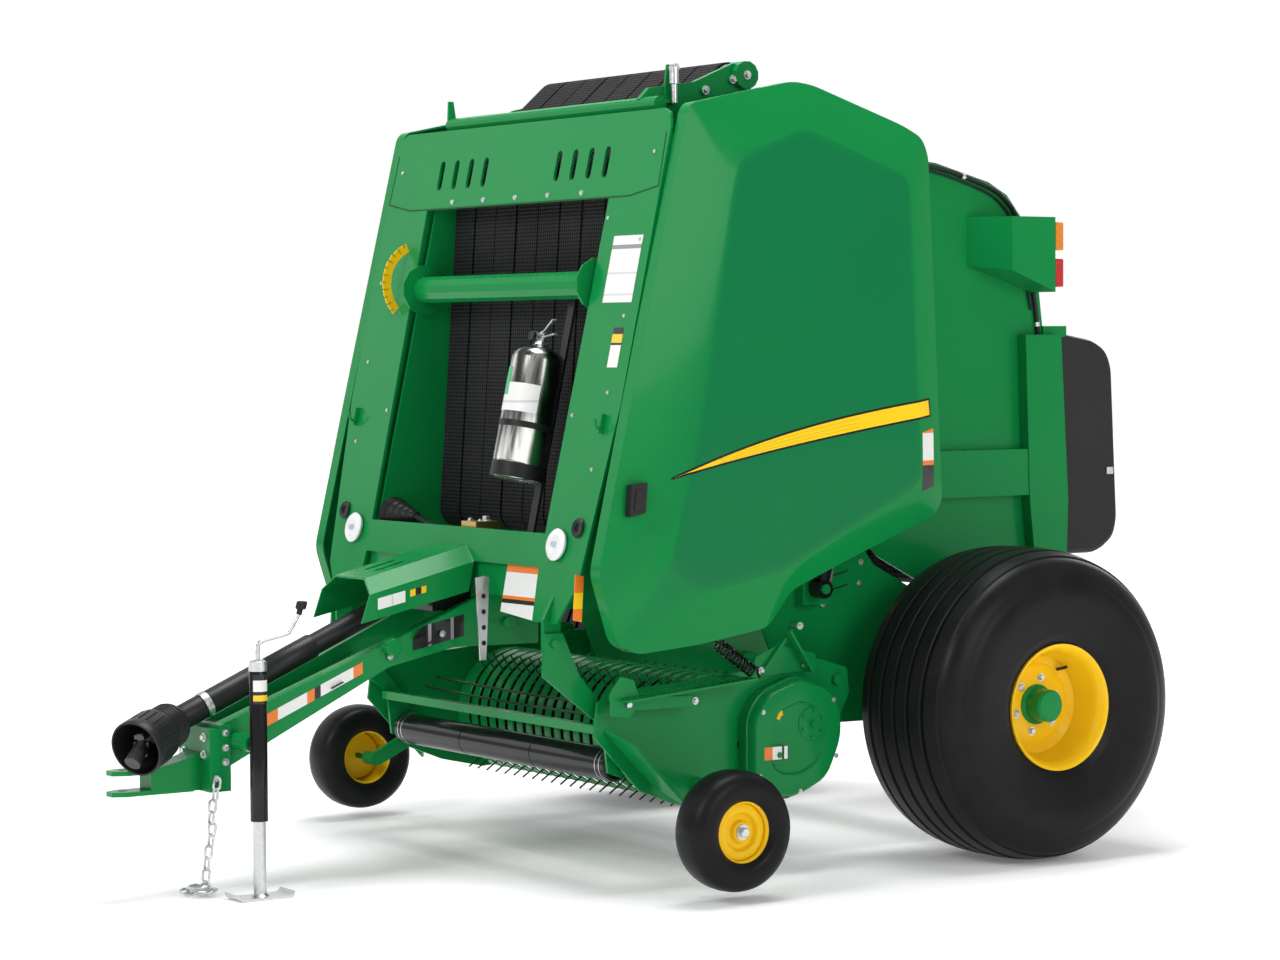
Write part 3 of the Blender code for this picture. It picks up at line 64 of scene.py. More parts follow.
# %% Camera
EYE = Vector((10.412, AXLE_Y - 7.960, 1.871))
AZIMUTH, PITCH, ROLL = radians(55.973), radians(2.336), radians(-0.31)
forward = Vector((-sin(AZIMUTH) * cos(PITCH), cos(AZIMUTH) * cos(PITCH), -sin(PITCH)))
level = forward.cross(Vector((0, 0, 1))).normalized()
side = cos(ROLL) * level + sin(ROLL) * level.cross(forward)
camera_data = bpy.data.cameras.new("camera")
camera_data.lens = 95.2
camera_data.sensor_width = 36.0
camera_data.clip_end = 200.0
camera = bpy.data.objects.new("camera", camera_data)
turn = Matrix((side, side.cross(forward), -forward)).transposed()
camera.matrix_world = Matrix.Translation(EYE) @ turn.to_4x4()
bpy.context.scene.collection.objects.link(camera)
bpy.context.scene.camera = camera
print("camera looks along", tuple(round(v, 3) for v in forward))


# %% [markdown]
# ## Light
# A studio lights a machine with soft boxes: large, even, and off to the sides. Small lamps would
# leave hard dots on the enamel, so five square area lights do the work, most of it from the front
# and from above. The sky is brightest straight ahead, which keeps the backdrop white while the
# paint mirrors something darker. That difference is what makes the paint look deep.

# %% Soft boxes
def soft_box(name, place, target, size, watts):
    """A square area light that faces a target."""
    data = bpy.data.lights.new(name, "AREA")
    data.size = size
    data.energy = watts
    lamp = bpy.data.objects.new(name, data)
    lamp.location = place
    lamp.rotation_euler = (Vector(target) - Vector(place)).to_track_quat("-Z", "Y").to_euler()
    bpy.context.scene.collection.objects.link(lamp)


MIDDLE = (0, 0, 1.3)    # every light is aimed at the middle of the machine
soft_box("key", (2.0, -8.5, 6.5), MIDDLE, 3.0, 330)
soft_box("side_fill", (9.5, 1.0, 4.0), MIDDLE, 3.5, 190)
soft_box("far_fill", (-7.5, -5.0, 4.5), MIDDLE, 4.0, 45)
soft_box("overhead", (0.0, 0.5, 8.0), MIDDLE, 4.0, 480)
soft_box("back", (-3.0, 8.0, 5.0), MIDDLE, 4.0, 160)
print("five soft boxes")

# %% Sky
world = bpy.data.worlds.new("studio")
bpy.context.scene.world = world
world.use_nodes = True
sky, wires = world.node_tree.nodes, world.node_tree.links
direction = sky.new("ShaderNodeTexCoord")
toward = sky.new("ShaderNodeVectorMath")
toward.operation = "DOT_PRODUCT"
toward.inputs[1].default_value = (forward.x, forward.y, 0.0)
fade = sky.new("ShaderNodeMapRange")
for socket, value in (("From Min", 0.5), ("From Max", 0.9), ("To Min", 0.42), ("To Max", 1.02)):
    fade.inputs[socket].default_value = value
wires.new(direction.outputs["Generated"], toward.inputs[0])
wires.new(toward.outputs["Value"], fade.inputs["Value"])
wires.new(fade.outputs["Result"], sky["Background"].inputs["Strength"])
sky["Background"].inputs["Color"].default_value = (1.0, 1.0, 1.0, 1.0)
print("a sky that is brightest ahead")


# %% [markdown]
# ## Finishes
# A finish starts from a Principled shader. What changes over the surface is worked out from the
# place of each point, in metres, so it needs no unwrapping. `Wire` lets a socket take part in plain
# arithmetic: `1 - mask * 0.3` adds the Math nodes by itself. Any other node comes from `node`.

# %% Sockets that can be reckoned with
class Wire:
    """An output socket of a finish that takes part in arithmetic."""

    def __init__(self, finish, socket):
        self.finish = finish
        self.socket = socket

    def maths(self, operation, *values):
        return self.finish.node("ShaderNodeMath", {"operation": operation}, dict(enumerate(values)))

    def __add__(self, other):
        return self.maths("ADD", self, other)

    def __sub__(self, other):
        return self.maths("SUBTRACT", self, other)

    def __rsub__(self, other):
        return self.maths("SUBTRACT", other, self)

    def __mul__(self, other):
        return self.maths("MULTIPLY", self, other)

    def __truediv__(self, other):
        return self.maths("DIVIDE", self, other)

    def __rtruediv__(self, other):
        return self.maths("DIVIDE", other, self)

    __radd__ = __add__
    __rmul__ = __mul__

    def sine(self):
        return self.maths("SINE", self)

    def size(self):
        return self.maths("ABSOLUTE", self)

    def clamped(self):
        return self.maths("MINIMUM", self.maths("MAXIMUM", self, 0.0), 1.0)


print("Wire is ready")

# %% A finish and its nodes
class Finish:
    """A material under construction: its node tree, its shader and its coordinates."""

    def __init__(self, name, colour, roughness, metallic=0.0, coat=0.0, specular=0.25):
        self.material = bpy.data.materials.new(name)
        self.material.use_nodes = True
        self.material.diffuse_color = (*colour, 1.0)
        self.tree = self.material.node_tree
        self.shader = self.tree.nodes["Principled BSDF"]
        self.set("Base Color", (*colour, 1.0))
        self.set("Roughness", roughness)
        self.set("Metallic", metallic)
        self.set("Coat Weight", coat)
        self.set("Specular IOR Level", 0.5 if metallic else specular)
        self.set("Coat Roughness", 0.06)
        self.place = self.node("ShaderNodeTexCoord", output="Object")

    def set(self, socket, value):
        self.feed(self.shader.inputs[socket], value)

    def feed(self, socket, value):
        if isinstance(value, Wire):
            self.tree.links.new(value.socket, socket)
        else:
            socket.default_value = value

    def node(self, kind, settings=None, inputs=None, output=0):
        """Adds a node: its settings first, then the values or wires of its sockets."""
        made = self.tree.nodes.new(kind)
        for key, value in (settings or {}).items():
            if key == "stops":
                ramp = made.color_ramp.elements
                ramp.remove(ramp[-1])
                ramp[0].position, ramp[0].color = value[0][0], (*value[0][1], 1.0)
                for stop, colour in value[1:]:
                    ramp.new(stop).color = (*colour, 1.0)
            else:
                setattr(made, key, value)
        for key, value in (inputs or {}).items():
            self.feed(made.inputs[key], value)
        return Wire(self, made.outputs[output])

    def noise(self, scale, detail=3.0, stretch=None):
        """Smooth noise between 0 and 1, scale features to a metre, stretched if asked."""
        place = self.place
        if stretch:
            place = self.node("ShaderNodeVectorMath", {"operation": "MULTIPLY"},
                              {0: place, 1: stretch})
        return self.node("ShaderNodeTexNoise", {},
                         {"Vector": place, "Scale": scale, "Detail": detail})

    def axes(self):
        """The three coordinates of a point as separate wires."""
        return [self.node("ShaderNodeSeparateXYZ", {}, {"Vector": self.place}, output=i)
                for i in range(3)]

    def upward(self):
        """How much the surface faces the sky, between 0 and 1."""
        facing = self.node("ShaderNodeNewGeometry", output="Normal")
        return self.node("ShaderNodeSeparateXYZ", {}, {"Vector": facing}, output="Z").clamped()

    def blend(self, mask, first, second, way="MIX"):
        """A colour that goes from first to second as the mask goes from 0 to 1."""
        first, second = [end if isinstance(end, Wire) else (*end, 1.0) for end in (first, second)]
        settings = {"data_type": "RGBA", "blend_type": way}
        return self.node("ShaderNodeMix", settings, {0: mask, 6: first, 7: second}, output=2)

    def bump(self, height, distance, strength=1.0):
        sockets = {"Height": height, "Distance": distance, "Strength": strength}
        self.set("Normal", self.node("ShaderNodeBump", {}, sockets))


def shade(colour, factor):
    """The same colour, lighter or darker."""
    return tuple(min(1.0, c * factor) for c in colour)


print("Finish is ready")


# %% [markdown]
# ## Paint
# Sprayed enamel is smooth and glossy, with a faint orange peel a few millimetres across. Light dust
# settles on faces that look up, and the gloss is a little uneven. One function makes every colour
# of enamel, so that the green, the yellow and the black differ only in what is passed in.

# %% Sprayed enamel
def enamel(name, colour, roughness=0.22, coat=0.08, dust=0.05):
    """Sprayed paint: cloudy by a few hundredths, with dust where it faces up."""
    paint = Finish(name, colour, roughness, coat=coat, specular=0.12)
    cloud = paint.noise(2.3, 4.0)
    film = (paint.upward() * paint.noise(14.0, 5.0) * dust * 2.0).clamped()
    uneven = (cloud * 0.5 + film).clamped()
    tint = paint.blend(uneven, shade(colour, 1.06), shade(colour, 0.86))
    paint.set("Base Color", tint)
    paint.set("Roughness", roughness + film * 0.5 + paint.noise(38.0, 2.0) * 0.05)
    paint.bump(paint.noise(260.0, 1.0), 0.0004, 0.25)
    return paint.material


GREEN = enamel("green_enamel", (0.004, 0.215, 0.050))
DARK_GREEN = enamel("green_enamel_seam", (0.004, 0.085, 0.018), 0.5, 0.1)
YELLOW = enamel("yellow_enamel", (0.86, 0.52, 0.010), 0.28)
BLACK = enamel("black_enamel", (0.008, 0.008, 0.009), 0.16, 0.35)
DECAL = enamel("decal_yellow", (0.88, 0.57, 0.010), 0.32)
PALE_LINE = enamel("decal_line", (0.62, 0.40, 0.010), 0.32)
WHITE = enamel("white_enamel", (0.80, 0.81, 0.82), 0.35, 0.2)
print("seven enamels")


# %% [markdown]
# ## Rubber and plastic
# Belts are cast with a diamond grip, so their bump is the product of two slanted waves whose cells
# are 14 mm across; the same waves also make the colour lighter and darker cell by cell, a painted
# highlight. A picture of a belt could do it, but a formula stays sharp at any distance and needs no
# unwrapping. Tyre rubber is smooth and a little uneven in its gloss, and moulded plastic has a
# leathery grain less than a millimetre deep.

# %% Belt, tyre, plastic and hose
GRIP_PITCH = 0.028


def belt_rubber():
    """Black rubber with a diamond grip cast into it, and a painted highlight on the grip in its
    colour.
    """
    rubber = Finish("belt_rubber", (0.016, 0.016, 0.018), 0.62, specular=0.10)
    x, y, z = rubber.axes()
    along = y * 0.35 + z
    wave = 2 * pi / GRIP_PITCH
    grip = ((x + along) * wave).sine() * ((x - along) * wave).sine()
    wear = rubber.noise(5.0, 5.0)
    # The colour mixes real wear with the grip, which is painted highlight on the relief.
    wear_and_grip_highlight = (wear * 0.5 + grip * 0.45 + 0.15).clamped()
    rubber.set("Base Color", rubber.blend(wear_and_grip_highlight, (0.003, 0.003, 0.004), (0.046, 0.046, 0.048)))
    rubber.set("Roughness", 0.55 + wear * 0.25)
    rubber.bump(grip + rubber.noise(160.0) * 0.4, 0.0024, 1.0)
    return rubber.material


def tyre_rubber():
    """Smooth black rubber, a little uneven in its gloss."""
    rubber = Finish("tyre_rubber", (0.007, 0.007, 0.008), 0.36, specular=0.13)
    mould = rubber.noise(9.0, 6.0)
    rubber.set("Base Color", rubber.blend(mould, (0.004, 0.004, 0.005), (0.012, 0.012, 0.013)))
    rubber.set("Roughness", 0.28 + mould * 0.18)
    rubber.bump(rubber.noise(330.0, 2.0), 0.0005, 0.5)
    return rubber.material


def moulded(name, colour, roughness, grain=420.0):
    """Injection-moulded plastic with a leathery grain."""
    plastic = Finish(name, colour, roughness)
    cloud = plastic.noise(6.0, 4.0)
    plastic.set("Base Color", plastic.blend(cloud, shade(colour, 0.8), shade(colour, 1.35)))
    plastic.set("Roughness", roughness - 0.08 + cloud * 0.16)
    plastic.bump(plastic.noise(grain, 3.0), 0.0005, 0.6)
    return plastic.material


BELT = belt_rubber()
TYRE = tyre_rubber()
PLASTIC = moulded("black_plastic", (0.013, 0.013, 0.014), 0.38)
COVER = moulded("grey_plastic", (0.017, 0.017, 0.018), 0.55, 300.0)
HOSE = moulded("hose_rubber", (0.012, 0.012, 0.013), 0.45, 700.0)
print("belt, tyre, two plastics and hose")


# %% [markdown]
# ## Metal and lenses
# Zinc plating has pale spangles, stainless steel is brushed round the bottle and carries painted
# reflections, long light and dark streaks in its colour, and brass is yellow with darker stains.
# Each is a metal whose roughness follows stretched noise. A lamp's lens is coloured plastic with
# fine upright ribs that break up the light.

# %% Zinc, stainless, brass and lens
RIB_PITCH = 0.006


def steel_with_painted_reflections():
    """Polished steel with painted reflections: long light and dark streaks round an upright bottle.
    """
    steel = Finish("brushed_stainless_painted_reflections", (0.60, 0.59, 0.57), 0.2, metallic=1.0)
    reflection_streak = steel.noise(9.0, 3.0, (3.2, 1.0, 0.25))
    hard_reflection = ((reflection_streak - 0.42) * 5.0).clamped()
    # The light and dark streaks in the colour are painted reflections of a partly dark studio.
    steel.set("Base Color", steel.blend(hard_reflection, (0.10, 0.10, 0.095), (0.74, 0.73, 0.70)))
    steel.set("Roughness", 0.16 + steel.noise(60.0, 3.0, (1.0, 1.0, 18.0)) * 0.12)
    steel.bump(steel.noise(90.0, 2.0, (1.0, 1.0, 12.0)), 0.0002, 0.25)
    return steel.material


def metal(name, colour, roughness, scale, stretch=None, spread=0.22):
    """Bare metal whose colour and gloss vary with one grain."""
    made = Finish(name, colour, roughness, metallic=1.0)
    grain = made.noise(scale, 4.0, stretch)
    made.set("Base Color", made.blend(grain, shade(colour, 0.78), shade(colour, 1.12)))
    made.set("Roughness", roughness - spread / 2 + grain * spread)
    made.bump(grain, 0.0002, 0.3)
    return made.material


def lens(name, colour):
    """Coloured plastic with upright ribs inside it."""
    made = Finish(name, colour, 0.12, coat=0.8)
    ribs = (made.axes()[0] * (2 * pi / RIB_PITCH)).sine()
    made.set("Base Color", made.blend(ribs * 0.5 + 0.5, shade(colour, 0.75), shade(colour, 1.2)))
    made.bump(ribs, 0.0006, 0.5)
    return made.material


ZINC = metal("zinc_plate", (0.66, 0.67, 0.68), 0.36, 70.0)
STAINLESS = steel_with_painted_reflections()
BRASS = metal("brass", (0.60, 0.40, 0.12), 0.34, 45.0)
AMBER = lens("amber_lens", (0.74, 0.23, 0.01))
RED = lens("red_lens", (0.50, 0.018, 0.013))
print("three metals and two lenses")


# %% [markdown]


# %% [markdown]
# ## Mesh tools
# A `Solid` gathers vertices and faces for one piece. Most of the machine is turned, extruded or
# swept, so it has a method for each: `lathe` spins a profile about a line, `plate` gives an outline
# its thickness, `tube` sweeps a circle along a path, and `bolt` sets a washer and a hexagon head.

# %% A solid and its methods
def frame_of(along):
    """Two directions at right angles to a line, and to each other."""
    helper = Vector((0, 0, 1)) if abs(along.z) < 0.9 else Vector((1, 0, 0))
    u = along.cross(helper).normalized()
    return u, along.cross(u).normalized()


class Solid:
    """Vertices and faces of one piece, measured from the axle."""

    def __init__(self):
        self.verts = []
        self.faces = []

    def add(self, verts, faces):
        start = len(self.verts)
        self.verts += [Vector(v) for v in verts]
        self.faces += [tuple(start + i for i in face) for face in faces]
        return self

    def loft(self, rings, around=True, ends=True, loop=False):
        """Skins equal rings; around closes each ring, loop joins the last to the first."""
        count = len(rings[0])
        faces = []
        pairs = len(rings) if loop else len(rings) - 1
        for i in range(pairs):
            j = (i + 1) % len(rings)
            for k in range(count if around else count - 1):
                m = (k + 1) % count
                faces.append((i * count + k, i * count + m, j * count + m, j * count + k))
        if ends and not loop:
            faces.append(tuple(reversed(range(count))))
            faces.append(tuple((len(rings) - 1) * count + k for k in range(count)))
        return self.add([v for ring in rings for v in ring], faces)

    def lathe(self, profile, a, b, sides=48, closed=True):
        """Turns (distance from a, radius) points about the line from a to b."""
        a = Vector(a)
        along = (Vector(b) - a).normalized()
        u, v = frame_of(along)
        rings = []
        for i in range(sides):
            t = 2 * pi * i / sides
            out = cos(t) * u + sin(t) * v
            rings.append([a + along * d + out * r for d, r in profile])
        return self.loft(rings, around=closed, ends=False, loop=True)

    def rod(self, a, b, radius, sides=24, radius_b=None, round_off=0.0):
        """A round bar from a to b, tapered or with its rims eased if asked."""
        last = radius if radius_b is None else radius_b
        length = (Vector(b) - Vector(a)).length
        ease = min(round_off, length / 3, radius / 2)
        profile = [(0, 0), (0, radius - ease), (ease, radius), (length - ease, last),
                   (length, last - ease), (length, 0)]
        return self.lathe(profile, a, b, sides, closed=False)

    def box(self, low, high):
        (x0, y0, z0), (x1, y1, z1) = low, high
        ring = [(x0, y0), (x1, y0), (x1, y1), (x0, y1)]
        return self.loft([[(x, y, z) for x, y in ring] for z in (z0, z1)])

    def bar(self, a, b, width, depth):
        """A square bar between two points."""
        a, b = Vector(a), Vector(b)
        u, v = frame_of((b - a).normalized())
        corners = ((-1, -1), (1, -1), (1, 1), (-1, 1))
        rings = [[p + i * u * width / 2 + j * v * depth / 2 for i, j in corners] for p in (a, b)]
        return self.loft(rings)

    def plate(self, outline, depth):
        """A flat outline of 3-D points, given thickness along a vector."""
        first = [Vector(p) for p in outline]
        return self.loft([first, [p + Vector(depth) for p in first]])

    def tube(self, points, radius, sides=12, loop=False):
        """A round wire or hose along a path."""
        path = [Vector(p) for p in points]
        count = len(path)
        rings, u = [], None
        for i, place in enumerate(path):
            if loop:
                along = (path[(i + 1) % count] - path[i - 1]).normalized()
            else:
                along = (path[min(i + 1, count - 1)] - path[max(i - 1, 0)]).normalized()
            u = frame_of(along)[0] if u is None else (u - along * u.dot(along)).normalized()
            v = along.cross(u)
            wide = radius(i / (count - 1)) if callable(radius) else radius
            angles = [2 * pi * k / sides for k in range(sides)]
            rings.append([place + wide * (cos(t) * u + sin(t) * v) for t in angles])
        return self.loft(rings, ends=True, loop=loop)

    def bolt(self, place, facing, across=0.019):
        """A washer with a hexagon head on it, standing on a face."""
        place, facing = Vector(place), Vector(facing).normalized()
        self.rod(place, place + facing * 0.0025, across * 0.72, 20)
        head = [(0.002, 0), (0.002, across / 2), (across * 0.5, across / 2)]
        head += [(across * 0.58, across * 0.40), (across * 0.58, 0)]
        return self.lathe(head, place, place + facing, 6, closed=False)

    def flipped(self):
        """The same solid on the machine's other side."""
        other = Solid()
        other.verts = [Vector((-v.x, v.y, v.z)) for v in self.verts]
        other.faces = [tuple(reversed(face)) for face in self.faces]
        return other

    def piece(self, name, finish, body, bevel=0.0, replaces=(), angle=38):
        """Makes the object, rides it on a body and hides the solids it stands for."""
        mesh = bpy.data.meshes.new(name)
        mesh.from_pydata([(v.x, v.y + AXLE_Y, v.z) for v in self.verts], [], self.faces)
        mesh.validate()
        work = bmesh.new()
        work.from_mesh(mesh)
        bmesh.ops.recalc_face_normals(work, faces=work.faces)
        work.to_mesh(mesh)
        work.free()
        mesh.shade_smooth()
        mesh.set_sharp_from_angle(angle=radians(angle))
        mesh.materials.append(finish)
        made = bpy.data.objects.new(name, mesh)
        bpy.context.scene.collection.objects.link(made)
        if bevel:
            soften(made, bevel)
        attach(made, body)
        if replaces:
            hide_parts(*replaces)
        return made


print("Solid can loft, turn, extrude and sweep")

# %% Soft edges, arcs and smooth paths
def soften(made, width, segments=2):
    """Rounds an object's sharp edges by a few millimetres, as bent sheet and castings are."""
    edge = made.modifiers.new("eased_edges", "BEVEL")
    edge.width = width
    edge.segments = segments
    edge.limit_method = "ANGLE"
    edge.angle_limit = radians(38)
    edge.harden_normals = True


def arc(centre, radius, start, end, steps):
    """Points on an arc as pairs, angles in degrees."""
    turns = [radians(start + (end - start) * i / steps) for i in range(steps + 1)]
    return [(centre[0] + radius * cos(t), centre[1] + radius * sin(t)) for t in turns]


def smooth_path(knots, per_span=6):
    """A smooth curve through a few points."""
    knots = [Vector(k) for k in knots]
    padded = [2 * knots[0] - knots[1]] + knots + [2 * knots[-1] - knots[-2]]
    path = []
    for a, b, c, d in zip(padded, padded[1:], padded[2:], padded[3:]):
        for k in range(per_span):
            t = k / per_span
            path.append(0.5 * (2 * b + (c - a) * t + (2 * a - 5 * b + 4 * c - d) * t ** 2
                               + (3 * b - a - 3 * c + d) * t ** 3))
    return path + [knots[-1]]


print("edges, arcs and paths are ready")


# %% [markdown]
# ## Solids that keep their own shape
# Frames, brackets and cylinders are already right, so they keep their solid and gain a finish. Real
# sheet is bent round a small radius and castings are rounded, so a bevel eases the sharp edges by
# a millimetre or two. It is those thin rounded edges that catch the light and outline a shape.

# %% Finish what is kept
EASE = 0.0025
KEPT = {
    GREEN: ("front_panel", "drawbar", "gearbox_cover", "hitch_clevis", "cross_tube",
            "side_sheet_left", "side_sheet_right", "pickup_frame", "windguard", "gate_side_left",
            "gate_side_right", "gate_rear_sheet", "belt_arm", "axle"),
    BLACK: ("gearbox", "cylinder_barrel_left", "cylinder_barrel_right"),
    PLASTIC: ("extinguisher_bracket",),
    YELLOW: ("bale_size_scale",),
    ZINC: ("cylinder_rod_left", "cylinder_rod_right"),
    BRASS: ("valve_block",),
}
OTHER_EASE = {"windguard": 0.002, "gearbox": 0.006}
for finish, members in KEPT.items():
    for member in members:
        solid = nodes[member]
        solid.data.materials.clear()
        solid.data.materials.append(finish)
        solid.data.shade_smooth()
        solid.data.set_sharp_from_angle(angle=radians(38))
        soften(solid, OTHER_EASE.get(member, EASE))
print(sum(len(members) for members in KEPT.values()), "solids kept")


def resting(low, high):
    """A node's box as numbers measured from the axle."""
    return (low.x, low.y - AXLE_Y, low.z), (high.x, high.y - AXLE_Y, high.z)


# %% [markdown]
# ## Main wheels
# A flotation tyre is wide and low, so that it doesn't sink in. Its tread has six broad ribs with
# five grooves between them, and its sidewall carries fine moulded rings. All of that is the same all
# the way round, so one profile is turned about the axle. The rim is a deep dish: a barrel with
# rolled lips, a disc set well in, and a hub with six bolts.

# %% Main wheels
TYRE_X, TYRE_RADIUS, TYRE_WIDTH = 1.044, 0.5625, 0.546
RIM_HALF, DISC_X, WHEEL_BOLTS = 0.247, 0.125, 6
RIBS, SHOULDER, CROWN_DROP, GROOVE_DEPTH = 6, 0.055, 0.055, 0.024


def crown_at(across):
    """The tread's radius, which falls off towards its shoulders."""
    return TYRE_RADIUS - CROWN_DROP * (abs(across) / (TYRE_WIDTH / 2)) ** 3.2


def tyre_profile():
    """The tyre's section as (across, radius), outer skin first and then its inside."""
    half = TYRE_WIDTH / 2
    wall = [(0.040, 0.2120), (0.034, 0.2265), (0.027, 0.2380), (0.020, 0.2560), (0.0185, 0.2580),
            (0.0175, 0.2640), (0.0125, 0.2900), (0.008, 0.3250), (0.003, 0.3600), (0.0, 0.3900),
            (0.0, 0.4080), (0.003, 0.4400), (0.008, 0.4560), (0.0105, 0.4590), (0.0115, 0.4640),
            (0.020, 0.4880), (0.034, 0.5120), (0.047, 0.5255)]
    outer = [(-half + d, r) for d, r in wall]
    rib = (TYRE_WIDTH - 2 * SHOULDER) / RIBS
    for k in range(RIBS):
        start = -half + SHOULDER + rib * k
        for share in (0.0, 0.06, 0.5, 0.94, 1.0):
            across = start + rib * (0.10 + 0.80 * share)
            outer.append((across, crown_at(across) - (0.006 if share in (0.0, 1.0) else 0.0)))
        if k < RIBS - 1:
            groove = start + rib
            depth = crown_at(groove) - GROOVE_DEPTH
            outer += [(groove - rib * 0.05, depth), (groove + rib * 0.05, depth)]
    outer += [(half - d, r) for d, r in reversed(wall)]
    return outer + [(half - 0.044, 0.2115), (-half + 0.044, 0.2115)]


print("a tyre profile of", len(tyre_profile()), "points")

# %% Turn the tyres and rims
def main_wheel(side_name, sign):
    """Tyre, rim, hub, bolts and valve stem of one wheel."""
    out = Vector((sign, 0, 0))
    centre = Vector((sign * TYRE_X, 0, TYRE_RADIUS))
    tyre = Solid().lathe(tyre_profile(), centre, centre + out, 96)
    tyre.piece(f"tread_tyre_{side_name}", TYRE, f"wheel_{side_name}", replaces=[f"tyre_{side_name}"],
               angle=30)
    rim = Solid()
    lip = [(-RIM_HALF, 0.222), (-RIM_HALF - 0.002, 0.2265), (-RIM_HALF + 0.010, 0.2265),
           (-RIM_HALF + 0.018, 0.210)]
    barrel = [(-0.190, 0.2045), (-0.120, 0.188), (0.120, 0.188), (0.190, 0.2045),
              (RIM_HALF - 0.018, 0.210), (RIM_HALF - 0.010, 0.2265), (RIM_HALF + 0.002, 0.2265),
              (RIM_HALF, 0.222)]
    inside = [(RIM_HALF - 0.004, 0.213), (0.200, 0.196), (0.150, 0.190), (0.132, 0.176),
              (-0.132, 0.176), (-0.200, 0.196), (-RIM_HALF + 0.004, 0.213)]
    rim.lathe(lip + barrel + inside, centre, centre + out, 72)
    disc = [(DISC_X - 0.020, 0.060), (DISC_X - 0.020, 0.120), (DISC_X - 0.034, 0.150),
            (DISC_X - 0.010, 0.182), (DISC_X - 0.002, 0.182), (DISC_X - 0.022, 0.150),
            (DISC_X - 0.010, 0.124), (DISC_X - 0.010, 0.060)]
    rim.lathe(disc, centre, centre + out, 72)
    rim.piece(f"dished_rim_{side_name}", YELLOW, f"wheel_{side_name}", replaces=[f"rim_{side_name}"],
              angle=45)
    hub = Solid()
    cap = [(-0.160, 0.037), (-0.160, 0.085), (0.080, 0.085), (0.092, 0.072), (0.120, 0.072),
           (0.128, 0.060), (0.190, 0.058), (0.198, 0.050), (0.200, 0.0), (-0.010, 0.0),
           (-0.010, 0.037)]
    hub.lathe(cap, centre, centre + out, 48, closed=False)
    hub.piece(f"hub_{side_name}", GREEN, f"wheel_{side_name}")
    bolts = Solid()
    for k in range(WHEEL_BOLTS):
        turn = 2 * pi * k / WHEEL_BOLTS + 0.3
        foot = centre + out * (DISC_X - 0.010) + Vector((0, cos(turn), sin(turn))) * 0.098
        bolts.bolt(foot, out, 0.022)
    bolts.piece(f"wheel_bolts_{side_name}", ZINC, f"wheel_{side_name}")
    valve = centre + out * (DISC_X - 0.010) + Vector((0, 0.10, 0.12))
    stem = Solid().rod(valve, valve + out * 0.05 + Vector((0, 0, 0.012)), 0.006, 12)
    stem.piece(f"valve_stem_{side_name}", PLASTIC, f"wheel_{side_name}")


for side_name, sign in SIDES:
    main_wheel(side_name, sign)
print("main wheels: six ribs each")


# %% [markdown]
# ## Caster wheels
# A small wheel at each end of the pickup follows the ground and keeps the tines clear of it. It is
# the same idea as the main wheel, but its tread is smooth, so a short profile is enough.

# %% Caster wheels
GAUGE_X, GAUGE_Y, GAUGE_Z = 1.2685, -1.419, 0.2405
GAUGE_RADIUS, GAUGE_WIDTH = 0.2045, 0.165


def caster_wheel(side_name, sign):
    """Tyre, rim and nut of one caster wheel."""
    out = Vector((sign, 0, 0))
    centre = Vector((sign * GAUGE_X, GAUGE_Y, GAUGE_Z))
    half = GAUGE_WIDTH / 2
    left = [(-half + 0.018, 0.106), (-half + 0.006, 0.116), (-half + 0.001, 0.130), (-half, 0.150),
            (-half + 0.003, 0.168), (-half + 0.012, 0.184), (-half + 0.028, 0.197),
            (-half + 0.052, 0.203)]
    profile = left + [(0.0, GAUGE_RADIUS)] + [(-d, r) for d, r in reversed(left)]
    tyre = Solid().lathe(profile + [(half - 0.020, 0.1035), (-half + 0.020, 0.1035)], centre,
                         centre + out, 64)
    tyre.piece(f"caster_tyre_{side_name}", TYRE, f"gauge_wheel_{side_name}",
               replaces=[f"gauge_tyre_{side_name}"], angle=40)
    rim = Solid()
    edge = half - 0.014
    rim.lathe([(-edge, 0.1145), (-edge + 0.012, 0.104), (edge - 0.012, 0.104), (edge, 0.1145),
               (edge - 0.003, 0.108), (edge - 0.016, 0.096), (-edge + 0.016, 0.096),
               (-edge + 0.003, 0.108)],
              centre, centre + out, 56)
    rim.lathe([(0.018, 0.0105), (0.052, 0.0105), (0.052, 0.034), (0.036, 0.040), (0.032, 0.058),
               (0.046, 0.066), (0.050, 0.080), (0.044, 0.094), (0.036, 0.097), (0.018, 0.090),
               (0.018, 0.040)],
              centre, centre + out, 56)
    rim.piece(f"caster_rim_{side_name}", YELLOW, f"gauge_wheel_{side_name}",
              replaces=[f"gauge_rim_{side_name}"], angle=40)
    nut = Solid().bolt(centre + out * 0.054, out, 0.036)
    nut.piece(f"caster_nut_{side_name}", ZINC, f"gauge_wheel_{side_name}")


for side_name, sign in SIDES:
    caster_wheel(side_name, sign)
print("caster wheels ready")


# %% [markdown]
# ## Side shields
# The shields are large moulded shells. Each is flat in the middle and rolls off towards its rim,
# like a shallow tray turned over. Starting from the rim outline, the shell is lofted inwards through
# a few rings, each a blend of rim and field outlines; a cosine gives the rounded shoulder.
# A sculpted surface could do it too, but rings keep the shoulder the same width all round.

